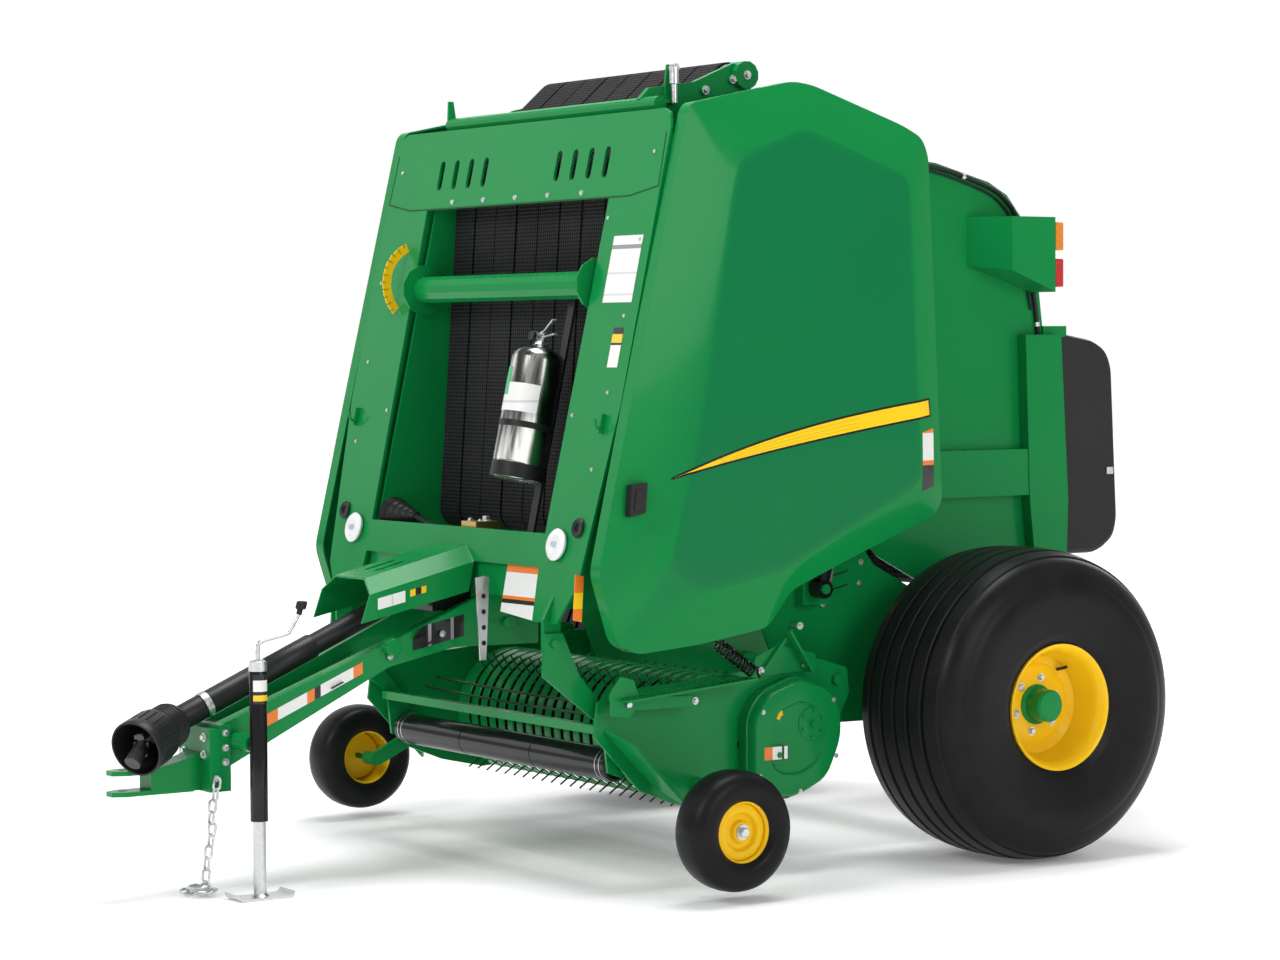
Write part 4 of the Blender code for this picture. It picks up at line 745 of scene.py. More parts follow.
# %% Outlines
SHIELD_EDGE = ((-1.392, 2.655), (-1.373, 2.680), (-0.951, 2.768), (-0.865, 2.758), (-0.468, 2.631),
               (-0.380, 2.590), (-0.351, 2.528), (-0.320, 1.907), (-0.290, 1.300), (-0.322, 1.247),
               (-0.718, 1.102), (-0.959, 1.008), (-1.067, 0.881), (-1.362, 0.838), (-1.609, 0.818),
               (-1.690, 0.856), (-1.765, 1.095), (-1.632, 1.660))
SHIELD_FIELD = ((-1.207, 2.489), (-0.930, 2.600), (-0.470, 2.440), (-0.420, 1.370), (-0.980, 1.095),
                (-1.361, 1.026), (-1.500, 1.120), (-1.380, 1.500))
SHIELD_X, SHIELD_CROWN, SHIELD_DEPTH, SHIELD_SKIN = 0.985, 0.045, 0.055, 0.006
SHIELD_HEART = (-0.90, 1.80)


def eased(outline, radius=0.035, steps=5):
    """An outline with its corners rounded."""
    points = []
    for i, corner in enumerate(outline):
        here, before = Vector(corner), Vector(outline[i - 1])
        after = Vector(outline[(i + 1) % len(outline)])
        cut = min(radius, (before - here).length * 0.45, (after - here).length * 0.45)
        a = here + (before - here).normalized() * cut
        b = here + (after - here).normalized() * cut
        for k in range(steps + 1):
            t = k / steps
            points.append((1 - t) ** 2 * a + 2 * t * (1 - t) * here + t * t * b)
    return points


def walk(outline, spacing):
    """The same closed outline with a point at least every so often."""
    points = []
    for a, b in zip(outline, outline[1:] + outline[:1]):
        steps = max(1, ceil((b - a).length / spacing))
        points += [a.lerp(b, k / steps) for k in range(steps) if k or (b - a).length > 1e-6]
    return points


def cross_at(outline, heart, point):
    """Where the line from the heart through a point meets an outline."""
    heading = point - heart
    for a, b in zip(outline, outline[1:] + outline[:1]):
        run = b - a
        cross = heading.x * run.y - heading.y * run.x
        if abs(cross) < 1e-12:
            continue
        gap = a - heart
        far = (gap.x * run.y - gap.y * run.x) / cross
        share = (gap.x * heading.y - gap.y * heading.x) / cross
        if far > 0 and -1e-9 <= share <= 1 + 1e-9:
            return heart + heading * far
    return point


print("a rim of", len(SHIELD_EDGE), "corners and a field of", len(SHIELD_FIELD))

# %% Shell and hinges
def shield_shell():
    """The left shield: its inside rings first, then its outside from rim to heart."""
    heart = Vector(SHIELD_HEART)
    edge = walk(eased(SHIELD_EDGE), 0.05)
    field = eased(SHIELD_FIELD, 0.06)
    flat = [cross_at(field, heart, p) for p in edge]
    rings = [[(SHIELD_X - SHIELD_DEPTH, p.x, p.y) for p in edge]]
    rings.append([(SHIELD_X - 0.008, p.x, p.y) for p in edge])
    for share in (0.0, 0.03, 0.10, 0.3, 0.6, 0.84, 0.93, 1.0, 1.05):
        shoulder = min(share, 1.0)
        rise = SHIELD_CROWN * (0.70 * shoulder + 0.30 * sin(shoulder * pi / 2))
        ring = [p.lerp(f, share) if share <= 1 else f.lerp(heart, share - 1)
                for p, f in zip(edge, flat)]
        rings.append([(SHIELD_X + rise, p.x, p.y) for p in ring])
    inner = [[(max(x - SHIELD_SKIN, SHIELD_X - SHIELD_DEPTH),
               *(heart + (Vector((y, z)) - heart) * 0.992))
              for x, y, z in ring] for ring in reversed(rings)]
    return Solid().loft(inner + rings)


def shield_hinges():
    """Two hinge barrels behind the shield's rear edge."""
    made = Solid()
    x, y = 0.955, -0.372
    for z in (1.460, 2.280):
        made.lathe([(0, 0.0115), (0, 0.022), (0.060, 0.022), (0.060, 0.0115)], (x, y, z),
                   (x, y, z + 0.06), 24)
        made.box((x + 0.014, y - 0.012, z + 0.005), (x + 0.025, y + 0.012, z + 0.055))
    return made


print("shell and hinges can be made")

# %% Shield paint and both shields
def shield_paint_with_painted_highlight():
    """Green enamel with painted light: the sloping borders are painted lighter than the flat field.
    """
    paint = Finish("shield_enamel", (0.004, 0.18, 0.048), 0.20, coat=0.09, specular=0.08)
    facing = paint.node("ShaderNodeNewGeometry", output="Normal")
    sideways = paint.node("ShaderNodeSeparateXYZ", {}, {"Vector": facing}, output="X").size()
    # Which way a face looks picks its green: a painted highlight on the sloping borders, a darker
    # flat field.
    flat = ((sideways - 0.985) * 70.0).clamped()
    cloud = paint.noise(1.7, 4.0)
    border_with_painted_highlight = paint.blend(cloud, (0.005, 0.225, 0.050), (0.004, 0.200, 0.046))
    field = paint.blend(cloud, (0.004, 0.175, 0.052), (0.003, 0.150, 0.046))
    paint.set("Base Color", paint.blend(flat, border_with_painted_highlight, field))
    paint.set("Roughness", 0.19 + cloud * 0.06)
    paint.bump(paint.noise(220.0, 1.0), 0.0004, 0.2)
    return paint.material


SHIELD_PAINT_WITH_HIGHLIGHT = shield_paint_with_painted_highlight()
shells = {}
for side_name, sign in SIDES:
    shell, hinges = shield_shell(), shield_hinges()
    if sign < 0:
        shell, hinges = shell.flipped(), hinges.flipped()
    body = f"side_shield_{side_name}"
    shells[side_name] = shell.piece(f"shield_shell_{side_name}", SHIELD_PAINT_WITH_HIGHLIGHT, body, replaces=[body],
                                    angle=30)
    hinges.piece(f"shield_hinges_{side_name}", GREEN, body, 0.0015)
print("shields: two shells with rolled shoulders")


# %% [markdown]
# ## Stickers
# Stickers are sheets less than a millimetre thick. `sticker` takes an outline seen square on, cuts
# it into small cells and drops each point onto the surface below it, so the sticker follows a bend.
# Every label is blank: coloured bands stand for its layout, and nothing is written.

# %% Stickers
def surface_below(solids):
    """Finds the point of some solids that a line meets first."""
    verts, faces = [], []
    graph = bpy.context.evaluated_depsgraph_get()
    for solid in solids:
        mesh = solid.evaluated_get(graph).to_mesh()
        start = len(verts)
        verts += [solid.matrix_world @ v.co for v in mesh.vertices]
        faces += [[start + i for i in p.vertices] for p in mesh.polygons]
    tree = BVHTree.FromPolygons(verts, faces)

    def meet(point, heading):
        return tree.ray_cast(point, heading, 3.0)[0]
    return meet


def sticker(name, finish, body, corners, solids, heading, lift=0.0009, cells=(12, 6)):
    """A four-cornered film laid on solids; corners run round it, measured from the axle."""
    meet = surface_below(solids)
    a, b, c, d = [Vector(p) + Vector((0, AXLE_Y, 0)) for p in corners]
    heading = Vector(heading).normalized()
    film = Solid()
    wide, tall = cells
    top, under = [], []
    for j in range(tall + 1):
        for i in range(wide + 1):
            flat = a.lerp(b, i / wide).lerp(d.lerp(c, i / wide), j / tall)
            found = meet(flat - heading * 0.4, heading) or flat
            top.append(found - heading * lift - Vector((0, AXLE_Y, 0)))
            under.append(found - heading * 0.0002 - Vector((0, AXLE_Y, 0)))
    grid = [(j * (wide + 1) + i, j * (wide + 1) + i + 1, (j + 1) * (wide + 1) + i + 1,
             (j + 1) * (wide + 1) + i)
            for j in range(tall) for i in range(wide)]
    count = len(top)
    rim = list(range(wide + 1)) + [(j + 1) * (wide + 1) + wide for j in range(tall)]
    rim += [tall * (wide + 1) + i for i in reversed(range(wide))]
    rim += [j * (wide + 1) for j in reversed(range(1, tall))]
    sides = [(p, q, q + count, p + count) for p, q in zip(rim, rim[1:] + rim[:1])]
    film.add(top + under,
             [tuple(reversed(f)) for f in grid] + [tuple(i + count for i in f) for f in grid] + sides)
    return film.piece(name, finish, body)


def banded(name, bands, axis, low, high, roughness=0.32):
    """Blank label stock: coloured bands along one axis between two places, with slight wear."""
    made = Finish(name, bands[0][1], roughness, coat=0.3)
    along = made.axes()["xyz".index(axis)]
    share = (along - (low + (AXLE_Y if axis == "y" else 0.0))) / (high - low)
    ramp = made.node("ShaderNodeValToRGB", {"stops": bands}, {"Fac": share})
    ramp.socket.node.color_ramp.interpolation = "CONSTANT"
    wear = made.noise(30.0, 4.0)
    made.set("Base Color", made.blend(wear * 0.25, ramp, (0.75, 0.75, 0.74), "MULTIPLY"))
    made.set("Roughness", roughness - 0.05 + wear * 0.15)
    made.bump(wear, 0.0002, 0.2)
    return made.material


PALE, INK = (0.80, 0.80, 0.79), (0.012, 0.012, 0.013)
SUN, WARN = (0.90, 0.55, 0.01), (0.82, 0.20, 0.02)
print("stickers follow what they lie on")


# %% [markdown]
# ## Stripe
# A long tapered stripe runs along the left shield. It is a film with a dark edge, so a slightly
# narrower yellow band lies on a black one, and three fine lines lie on that. The upper edge bows
# upwards: a sine gives the bow, and rays cast at the shell bring each point down onto it.

# %% The stripe's two edges
left_shell = [shells["left"]]
IN_LEFT = (-1, 0, 0)
SHELL_FACE = SHIELD_X + SHIELD_CROWN
RIDGE = ((-1.491, 1.411), (-0.339, 1.669))
FOOT_LINE = ((-1.491, 1.405), (-0.330, 1.604))
FOOT_BOW = 0.35
TO_WORLD = Vector((0, AXLE_Y, 0))


def bow_at(t):
    """How far the stripe's upper edge rises above a straight line."""
    return 0.048 * sin(pi * t) ** 0.8 * (1 - 0.35 * t)


def point_on(line, t):
    """A point on a straight edge as (y, z), t running from its first end to its last."""
    (ya, za), (yb, zb) = line
    return ya + (yb - ya) * t, za + (zb - za) * t


def share_at(line, y):
    """How far along a line a length along the machine lies, from 0 to 1."""
    return (y - line[0][0]) / (line[1][0] - line[0][0])


print("the stripe bows by up to", round(max(bow_at(k / 50) for k in range(51)), 3), "m")

# %% Bands and hairlines
def stripe(name, finish, start, end, inset, lift):
    """A long tapered band between two shares of its length, set in from both edges."""
    steps = 180
    meet = surface_below(left_shell)
    rows = []
    for i in range(steps + 1):
        t = start + (end - start) * i / steps
        bow = bow_at(t)
        high = Vector((SHELL_FACE, *point_on(RIDGE, t))) + Vector((0, 0, bow))
        low = Vector((SHELL_FACE, *point_on(FOOT_LINE, t))) + Vector((0, 0, bow * FOOT_BOW))
        gap = min(inset / max((high - low).length, 1e-4), 0.48)
        found = []
        for place in (high.lerp(low, gap), low.lerp(high, gap)):
            start_of_ray = place + TO_WORLD + Vector((0.3, 0, 0))
            found.append((meet(start_of_ray, Vector(IN_LEFT)) or place + TO_WORLD) - TO_WORLD)
        rows.append([found[0] + Vector((lift, 0, 0)), found[1] + Vector((lift, 0, 0)),
                     found[1] + Vector((0.0002, 0, 0)), found[0] + Vector((0.0002, 0, 0))])
    return Solid().loft(rows).piece(name, finish, "side_shield_left")


def hairline(number, share):
    """A fine line along the stripe, at a share of its height."""
    meet = surface_below(left_shell)
    first, last, steps = -1.30, -0.70, 80
    rows = []
    for i in range(steps + 1):
        y = first + (last - first) * i / steps
        bow = bow_at(share_at(RIDGE, y))
        top = point_on(RIDGE, share_at(RIDGE, y))[1] + bow
        low = point_on(FOOT_LINE, share_at(FOOT_LINE, y))[1] + bow * FOOT_BOW
        place = Vector((SHELL_FACE, y, top + (low - top) * share))
        found = (meet(place + TO_WORLD + Vector((0.3, 0, 0)), Vector(IN_LEFT))
                 or place + TO_WORLD) - TO_WORLD
        rows.append([found + Vector((lift, 0, dz)) for lift, dz in
                     ((0.0021, 0.0007), (0.0021, -0.0007), (0.0004, -0.0007), (0.0004, 0.0007))])
    Solid().loft(rows).piece(f"stripe_hairline_{number}", PALE_LINE, "side_shield_left")


stripe("stripe_outline", BLACK, 0.0, 0.975, 0.0, 0.0009)
stripe("stripe_yellow", DECAL, 0.014, 0.967, 0.0075, 0.0017)
for number, share in enumerate((0.30, 0.52, 0.72)):
    hairline(number, share)
print("stripe laid on the left shield")

# %% Shield label and latches
notice = banded("label_notice", [(0.0, INK), (0.42, WARN), (0.50, PALE), (0.94, WARN)], "z", 1.335,
                1.555)
sticker("label_shield", notice, "side_shield_left",
        [(SHELL_FACE, -0.412, 1.335), (SHELL_FACE, -0.345, 1.352), (SHELL_FACE, -0.345, 1.558),
         (SHELL_FACE, -0.412, 1.545)], left_shell, IN_LEFT)
latch = Solid()
latch.plate([(SHELL_FACE + 0.004, -1.668, 1.285), (SHELL_FACE + 0.004, -1.603, 1.297),
             (SHELL_FACE + 0.004, -1.594, 1.400), (SHELL_FACE + 0.004, -1.660, 1.392)],
            (-0.034, 0, 0))
latch.plate([(SHELL_FACE + 0.009, -1.652, 1.305), (SHELL_FACE + 0.009, -1.628, 1.309),
             (SHELL_FACE + 0.009, -1.622, 1.380), (SHELL_FACE + 0.009, -1.645, 1.376)],
            (-0.010, 0, 0))
latch.piece("shield_latch_left", PLASTIC, "side_shield_left", 0.004)
latch.flipped().piece("shield_latch_right", PLASTIC, "side_shield_right", 0.004)
print("a label, and a latch on each shield")


# %% [markdown]
# ## Belts
# Eight woven belts run side by side where the plain solid has one wide band. Each goes round its
# rollers along the tightest line, which is the convex hull of the roller circles. A small gap parts
# the belts, and each wanders a little from its place, as tracked belts do.

# %% Places of the rollers
CHAMBER_HALF = 0.600
BELT_HALF, BELT_THICK = CHAMBER_HALF - 0.015, 0.008
TOP, UPPER, LOWER = (-0.930, 2.790, 0.066), (-1.290, 2.480, 0.060), (-1.380, 1.250, 0.060)
STARTER = (-0.620, 0.940, 0.110)
GATE_TOP, GATE_REAR, GATE_LOW = (0.230, 2.330, 0.060), (0.430, 1.360, 0.060), (0.330, 0.990, 0.060)
BELTS = 8
print(BELTS, "belts to a loop, each", round(2 * BELT_HALF / BELTS, 3), "m wide")

# %% The line a belt takes
def hull(points):
    """The convex outline around points, anticlockwise."""
    points = sorted(set((round(y, 6), round(z, 6)) for y, z in points))

    def half(run):
        kept = []
        for p in run:
            while len(kept) > 1:
                (ay, az), (by, bz) = kept[-2:]
                if (by - ay) * (p[1] - az) - (bz - az) * (p[0] - ay) > 1e-9:
                    break
                kept.pop()
            kept.append(p)
        return kept[:-1]
    return half(points) + half(points[::-1])


def around(rollers, extra):
    """The tightest line round some rollers, so far off their faces."""
    return hull([p for y, z, r in rollers for p in arc((y, z), r + extra, 0, 360, 32)[:-1]])


def inner_at(inner, outer):
    """The inner line's point nearest each point of the outer line."""
    points = []
    for oy, oz in outer:
        best, found = 9.0, None
        for (ay, az), (by, bz) in zip(inner, inner[1:] + inner[:1]):
            run = (by - ay) ** 2 + (bz - az) ** 2
            t = max(0.0, min(1.0, ((oy - ay) * (by - ay) + (oz - az) * (bz - az)) / max(run, 1e-12)))
            y, z = ay + t * (by - ay), az + t * (bz - az)
            if hypot(oy - y, oz - z) < best:
                best, found = hypot(oy - y, oz - z), (y, z)
        points.append(found)
    return points


print("a belt's line has", len(around((UPPER, LOWER, TOP), BELT_THICK)), "points")

# %% Belts and rollers
def belt_loops(name, rollers, body, node):
    """Belts side by side that stay inside the plain band's skin."""
    pitch = 2 * BELT_HALF / BELTS
    outer = around(rollers, BELT_THICK - 0.0006)
    lining = inner_at(around(rollers, 0.0012), outer)
    belts = Solid()
    for k in range(BELTS):
        x0 = -BELT_HALF + pitch * k + 0.004 + 0.0015 * sin(k * 2.3)
        x1 = x0 + pitch - 0.011
        rim = [[(x, y, z) for y, z in outer] for x in (x0, x1)]
        back = [[(x, y, z) for y, z in lining] for x in (x1, x0)]
        belts.loft(rim + back, loop=True)
    belts.piece(name, BELT, body, replaces=[node])


def roller(name, place, body, end_gap=0.012):
    """A tube with closed ends on a thin shaft."""
    y, z, r = place
    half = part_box(name)[1].x
    tube, shaft = CHAMBER_HALF - end_gap, r * 0.35
    profile = [(-half, 0), (-half, shaft), (-tube, shaft), (-tube, r - 0.003), (-tube + 0.003, r),
               (tube - 0.003, r), (tube, r - 0.003), (tube, shaft), (half, shaft), (half, 0)]
    made = Solid().lathe(profile, (0, y, z), (1, y, z), 40, closed=False)
    made.piece(f"round_{name}", BLACK, body, replaces=[name])


belt_loops("woven_front_belts", (UPPER, LOWER, TOP), "frame", "front_belts")
belt_loops("woven_gate_belts", (GATE_TOP, GATE_REAR, GATE_LOW), "tailgate", "gate_belts")
roller("belt_roller_top", TOP, "frame")
roller("belt_roller_upper", UPPER, "frame")
roller("belt_roller_lower", LOWER, "frame")
roller("starter_roller", STARTER, "frame", 0.006)
roller("gate_roller_top", GATE_TOP, "tailgate")
roller("gate_roller_rear", GATE_REAR, "tailgate")
roller("gate_roller_low", GATE_LOW, "tailgate")
print("sixteen belts on seven rollers")


# %% [markdown]
# ## Pickup
# The reel's spring tines pass between bent bands, which strip the hay off them. A tine is a 6 mm
# wire with a coil at its bar and a slight bend near the tip. Only a few dozen show, but all of them
# are made, since the reel turns. The press roller in front is a glossy tube with welded seams. A
# tine could be copied as an instance, but one mesh for the whole reel turns as one piece.

# %% Reel
REEL, REEL_TUBE, TINE_REACH, TINE_BAR = (-1.030, 0.455), 0.045, 0.320, 0.165
TINE_PITCH, COLUMNS, ROWS, PICKUP_SIDE = 0.065, 22, 4, 0.775
TINE = enamel("tine_enamel", (0.012, 0.050, 0.022), 0.35, 0.2)
columns = [(i - (COLUMNS - 1) / 2) * TINE_PITCH for i in range(COLUMNS)]


def reel():
    """A drum of discs and bars, with a row of spring tines on each bar."""
    y, z = REEL
    heart = Vector((0, y, z))
    drum, tines = Solid(), Solid()
    drum.rod((-0.762, y, z), (0.762, y, z), REEL_TUBE, 40)
    drum.rod((-0.784, y, z), (0.784, y, z), 0.0248, 24)
    last = PICKUP_SIDE - 0.075
    for x in (-last, -last / 3, last / 3, last):
        drum.rod((x - 0.004, y, z), (x + 0.004, y, z), 0.185, 48)
    for row in range(ROWS):
        t = radians(222 + 360 / ROWS * row)
        out, trail = Vector((0, cos(t), sin(t))), Vector((0, -sin(t), cos(t)))
        bar = heart + out * TINE_BAR
        drum.rod(bar - Vector((last + 0.012, 0, 0)), bar + Vector((last + 0.012, 0, 0)), 0.012, 16)
        for x in columns:
            foot = bar + Vector((x, 0, 0))
            tines.rod(foot - Vector((0.009, 0, 0)), foot + Vector((0.009, 0, 0)), 0.0165, 10)
            knee = foot + out * 0.100 + trail * 0.004
            tip = heart + Vector((x, 0, 0)) + out * (TINE_REACH - 0.003) - trail * 0.004
            shank = [foot + trail * 0.010, foot + out * 0.05 + trail * 0.009, knee, tip]
            tines.tube(shank, 0.0032, 6)
    drum.piece("reel_drum", BLACK, "reel", replaces=["pickup_reel"])
    tines.piece("spring_tines", TINE, "reel")


reel()
print(ROWS * COLUMNS, "tines on a reel")

# %% Stripper bands
BAND_RADIUS, BAND_THICK, BAND_SLOT = 0.235, 0.004, 0.022


def bands():
    """Bent strips with a slot between each pair for a tine, and a tie along their upper ends."""
    y, z = REEL
    edges = [-PICKUP_SIDE + 0.004]
    for x in columns:
        edges += [x - BAND_SLOT / 2, x + BAND_SLOT / 2]
    edges.append(PICKUP_SIDE - 0.004)
    line = arc((y, z), BAND_RADIUS, 35, 255, 30)
    back = arc((y, z), BAND_RADIUS - BAND_THICK, 255, 35, 30)
    made = Solid()
    for x0, x1 in zip(edges[0::2], edges[1::2]):
        lip = min(0.004, (x1 - x0) / 4)
        skin = [[(x, y + (py - y) * s, z + (pz - z) * s) for py, pz in line]
                for x, s in ((x0, 0.985), (x0 + lip, 1.0), (x1 - lip, 1.0), (x1, 0.985))]
        rear = [[(x, py, pz) for py, pz in reversed(back)] for x in (x1, x0)]
        made.loft(skin + rear, around=False, ends=False, loop=True)
        for end in (0, -1):
            made.add([ring[end] for ring in skin + rear], [tuple(range(6))])
    tie = Vector((0, *line[0]))
    reach = PICKUP_SIDE - 0.0003
    made.box((-reach, tie.y - 0.008, tie.z - 0.012), (reach, tie.y + 0.004, tie.z + 0.012))
    made.piece("bent_stripper_bands", GREEN, "pickup", replaces=["stripper_bands"])


bands()
print(COLUMNS + 1, "bands")

# %% Press roller and its rods
PRESS = (-1.520, 0.410)
roll, rings = Solid(), Solid()
y, z = PRESS
half = 0.722
profile = [(-half, 0), (-half, 0.050), (-half + 0.006, 0.0575)]
for seam in (-half / 3, half / 3):
    profile += [(seam - 0.003, 0.0575), (seam - 0.001, 0.0555), (seam + 0.001, 0.0555),
                (seam + 0.003, 0.0575)]
profile += [(half - 0.006, 0.0575), (half, 0.050), (half, 0)]
roll.lathe(profile, (0, y, z), (1, y, z), 48, closed=False)
roll.rod((-0.753, y, z), (0.753, y, z), 0.0158, 20)
roll.piece("glossy_press_roller", BLACK, "press_roller", replaces=["press_roller"])
for x in (-half + 0.030, -half + 0.055, half - 0.055, half - 0.030):
    rings.lathe([(-0.002, 0.0574), (0.002, 0.0574), (0.002, 0.0582), (-0.002, 0.0582)], (x, y, z),
                (x + 1, y, z), 40)
rings.piece("press_roller_rings", ZINC, "press_roller")
rods = Solid()
for k, (dy, dz) in enumerate(((0.045, 0.118), (0.095, 0.150), (0.145, 0.182))):
    path = [(x, y + dy, z + dz - 0.010 * cos(x * 2.1)) for x in (-0.737, -0.4, 0.0, 0.4, 0.737)]
    rods.tube(smooth_path(path, 5), 0.005, 8)
rods.piece("windguard_rods", TINE, "windguard")
print("press roller, its rings and three rods")


# %% [markdown]
# ## Extinguisher
# Dry hay burns, so a baler carries an extinguisher. It is a brushed steel bottle: one turned profile
# with a domed shoulder, which a quarter of a circle gives. A valve with two handles, a gauge and a
# short hose stand on it, and its labels are thin bands that follow its curve.

# %% Bottle and straps
LEAN = radians(12.65)
upward, inward = Vector((0, sin(LEAN), cos(LEAN))), Vector((0, cos(LEAN), -sin(LEAN)))
bottle_low, _ = resting(*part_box("extinguisher"))
RADIUS, LENGTH = 0.094, 0.485
foot = Vector((0.364, bottle_low[1] + 0.0875 * cos(LEAN), bottle_low[2] + 0.0775 * sin(LEAN)))
foot -= inward * (RADIUS - 0.0875) + upward * 0.012
bottle = Solid()
dome = [(LENGTH - 0.060 + 0.052 * sin(t), 0.030 + (RADIUS - 0.030) * cos(t))
        for t in [pi / 2 * k / 8 for k in range(9)]]
skirt = [(0, 0), (0.001, RADIUS - 0.014), (0.004, RADIUS - 0.005), (0.010, RADIUS), (0.034, RADIUS)]
crease = [(0.060, RADIUS - 0.0015), (0.064, RADIUS - 0.0015), (0.066, RADIUS)]
bottle.lathe(skirt + crease + dome + [(LENGTH, 0.026), (LENGTH, 0)], foot, foot + upward, 64,
             closed=False)
bottle.piece("steel_bottle", STAINLESS, "frame", replaces=["extinguisher"], angle=50)
around_bottle = Solid()
around_bottle.lathe([(0.006, RADIUS), (0.006, RADIUS + 0.0012), (0.058, RADIUS + 0.0012),
                     (0.058, RADIUS)],
                    foot, foot + upward, 64)
around_bottle.lathe([(0.182, RADIUS), (0.182, RADIUS + 0.0020), (0.204, RADIUS + 0.0020),
                     (0.204, RADIUS)],
                    foot, foot + upward, 64)
around_bottle.piece("bottle_straps", PLASTIC, "frame")
print("bottle", LENGTH, "m tall")

# %% Valve, gauge and hose
valve = Solid()
head = foot + upward * (LENGTH - 0.004)
valve.rod(head, head + upward * 0.016, 0.024, 6)
valve.rod(head + upward * 0.014, head + upward * 0.046, 0.016, 24)
valve.rod(head + upward * 0.034 - inward * 0.034, head + upward * 0.034, 0.014, 24)
crown = head + upward * 0.042
grip = [crown + Vector((-0.030, 0, 0)), crown + Vector((0.020, 0, 0.012)),
        crown + Vector((0.085, -0.004, 0.052))]
lever = [crown + Vector((-0.022, 0, -0.012)), crown + Vector((0.030, 0, -0.006)),
         crown + Vector((0.092, -0.004, 0.002))]
for path in (grip, lever):
    for a, b in zip(path, path[1:]):
        valve.bar(a, b, 0.018, 0.006)
valve.rod(crown + Vector((0.010, -0.012, 0.0)), crown + Vector((0.010, 0.012, 0.0)), 0.004, 12)
valve.piece("bottle_valve", ZINC, "frame", 0.001)
gauge = Solid().rod(head + upward * 0.030 - inward * 0.034, head + upward * 0.030 - inward * 0.046,
                    0.017, 24)
gauge.piece("bottle_gauge", PLASTIC, "frame", 0.001)
nozzle = smooth_path([head + upward * 0.020 + Vector((-0.014, 0, 0)),
                      head + Vector((-0.060, 0, -0.01)), head + Vector((-0.098, 0, -0.08)),
                      foot + upward * 0.24 + Vector((-0.100, 0, 0)),
                      foot + upward * 0.10 + Vector((-0.102, 0, 0))], 8)
Solid().tube(nozzle, 0.009, 12).piece("bottle_hose", HOSE, "frame")
print("valve, gauge and hose")

# %% Labels round the bottle
def wrap(name, finish, start, end, low, high):
    """A label round the bottle between two heights, over an angle seen from the front."""
    right = Vector((1, 0, 0))
    rings = []
    for k in range(25):
        t = radians(start + (end - start) * k / 24)
        out = right * sin(t) - inward * cos(t)
        rings.append([foot + upward * low + out * (RADIUS + 0.0002),
                      foot + upward * high + out * (RADIUS + 0.0002),
                      foot + upward * high + out * (RADIUS + 0.0010),
                      foot + upward * low + out * (RADIUS + 0.0010)])
    Solid().loft(rings).piece(name, finish, "frame")


paper = banded("label_paper",
               [(0.0, PALE), (0.30, (0.60, 0.61, 0.62)), (0.36, PALE), (0.80, (0.65, 0.66, 0.66)),
                (0.84, PALE)], "z", 1.62, 1.76)
mint = banded("label_green", [(0.0, (0.04, 0.42, 0.16)), (0.5, PALE), (0.56, (0.04, 0.42, 0.16))],
              "z", 1.74, 1.86)
wrap("bottle_label", paper, -30, 75, 0.235, 0.335)
wrap("bottle_badge", mint, -40, -2, 0.290, 0.390)
print("two blank labels")


# %% [markdown]
# ## Drive shaft
# A tractor turns the baler through a shaft that runs inside a guard. The guard is two plastic tubes,
# one sliding in the other, and ends in a ribbed cone that is open at the front, where the yoke
# shows. Tubes and cone are turned from profiles; the ribs along the cone are thin rods.

# %% Guard, cone, collar and yoke
DRIVE_REAR, DRIVE_BEND = Vector((0, -1.955, 0.975)), Vector((0.010, -2.860, 0.585))
CONE_MOUTH = Vector((0.115, -3.050, 0.518))
CAST = metal("cast_iron", (0.10, 0.10, 0.105), 0.48, 90.0)


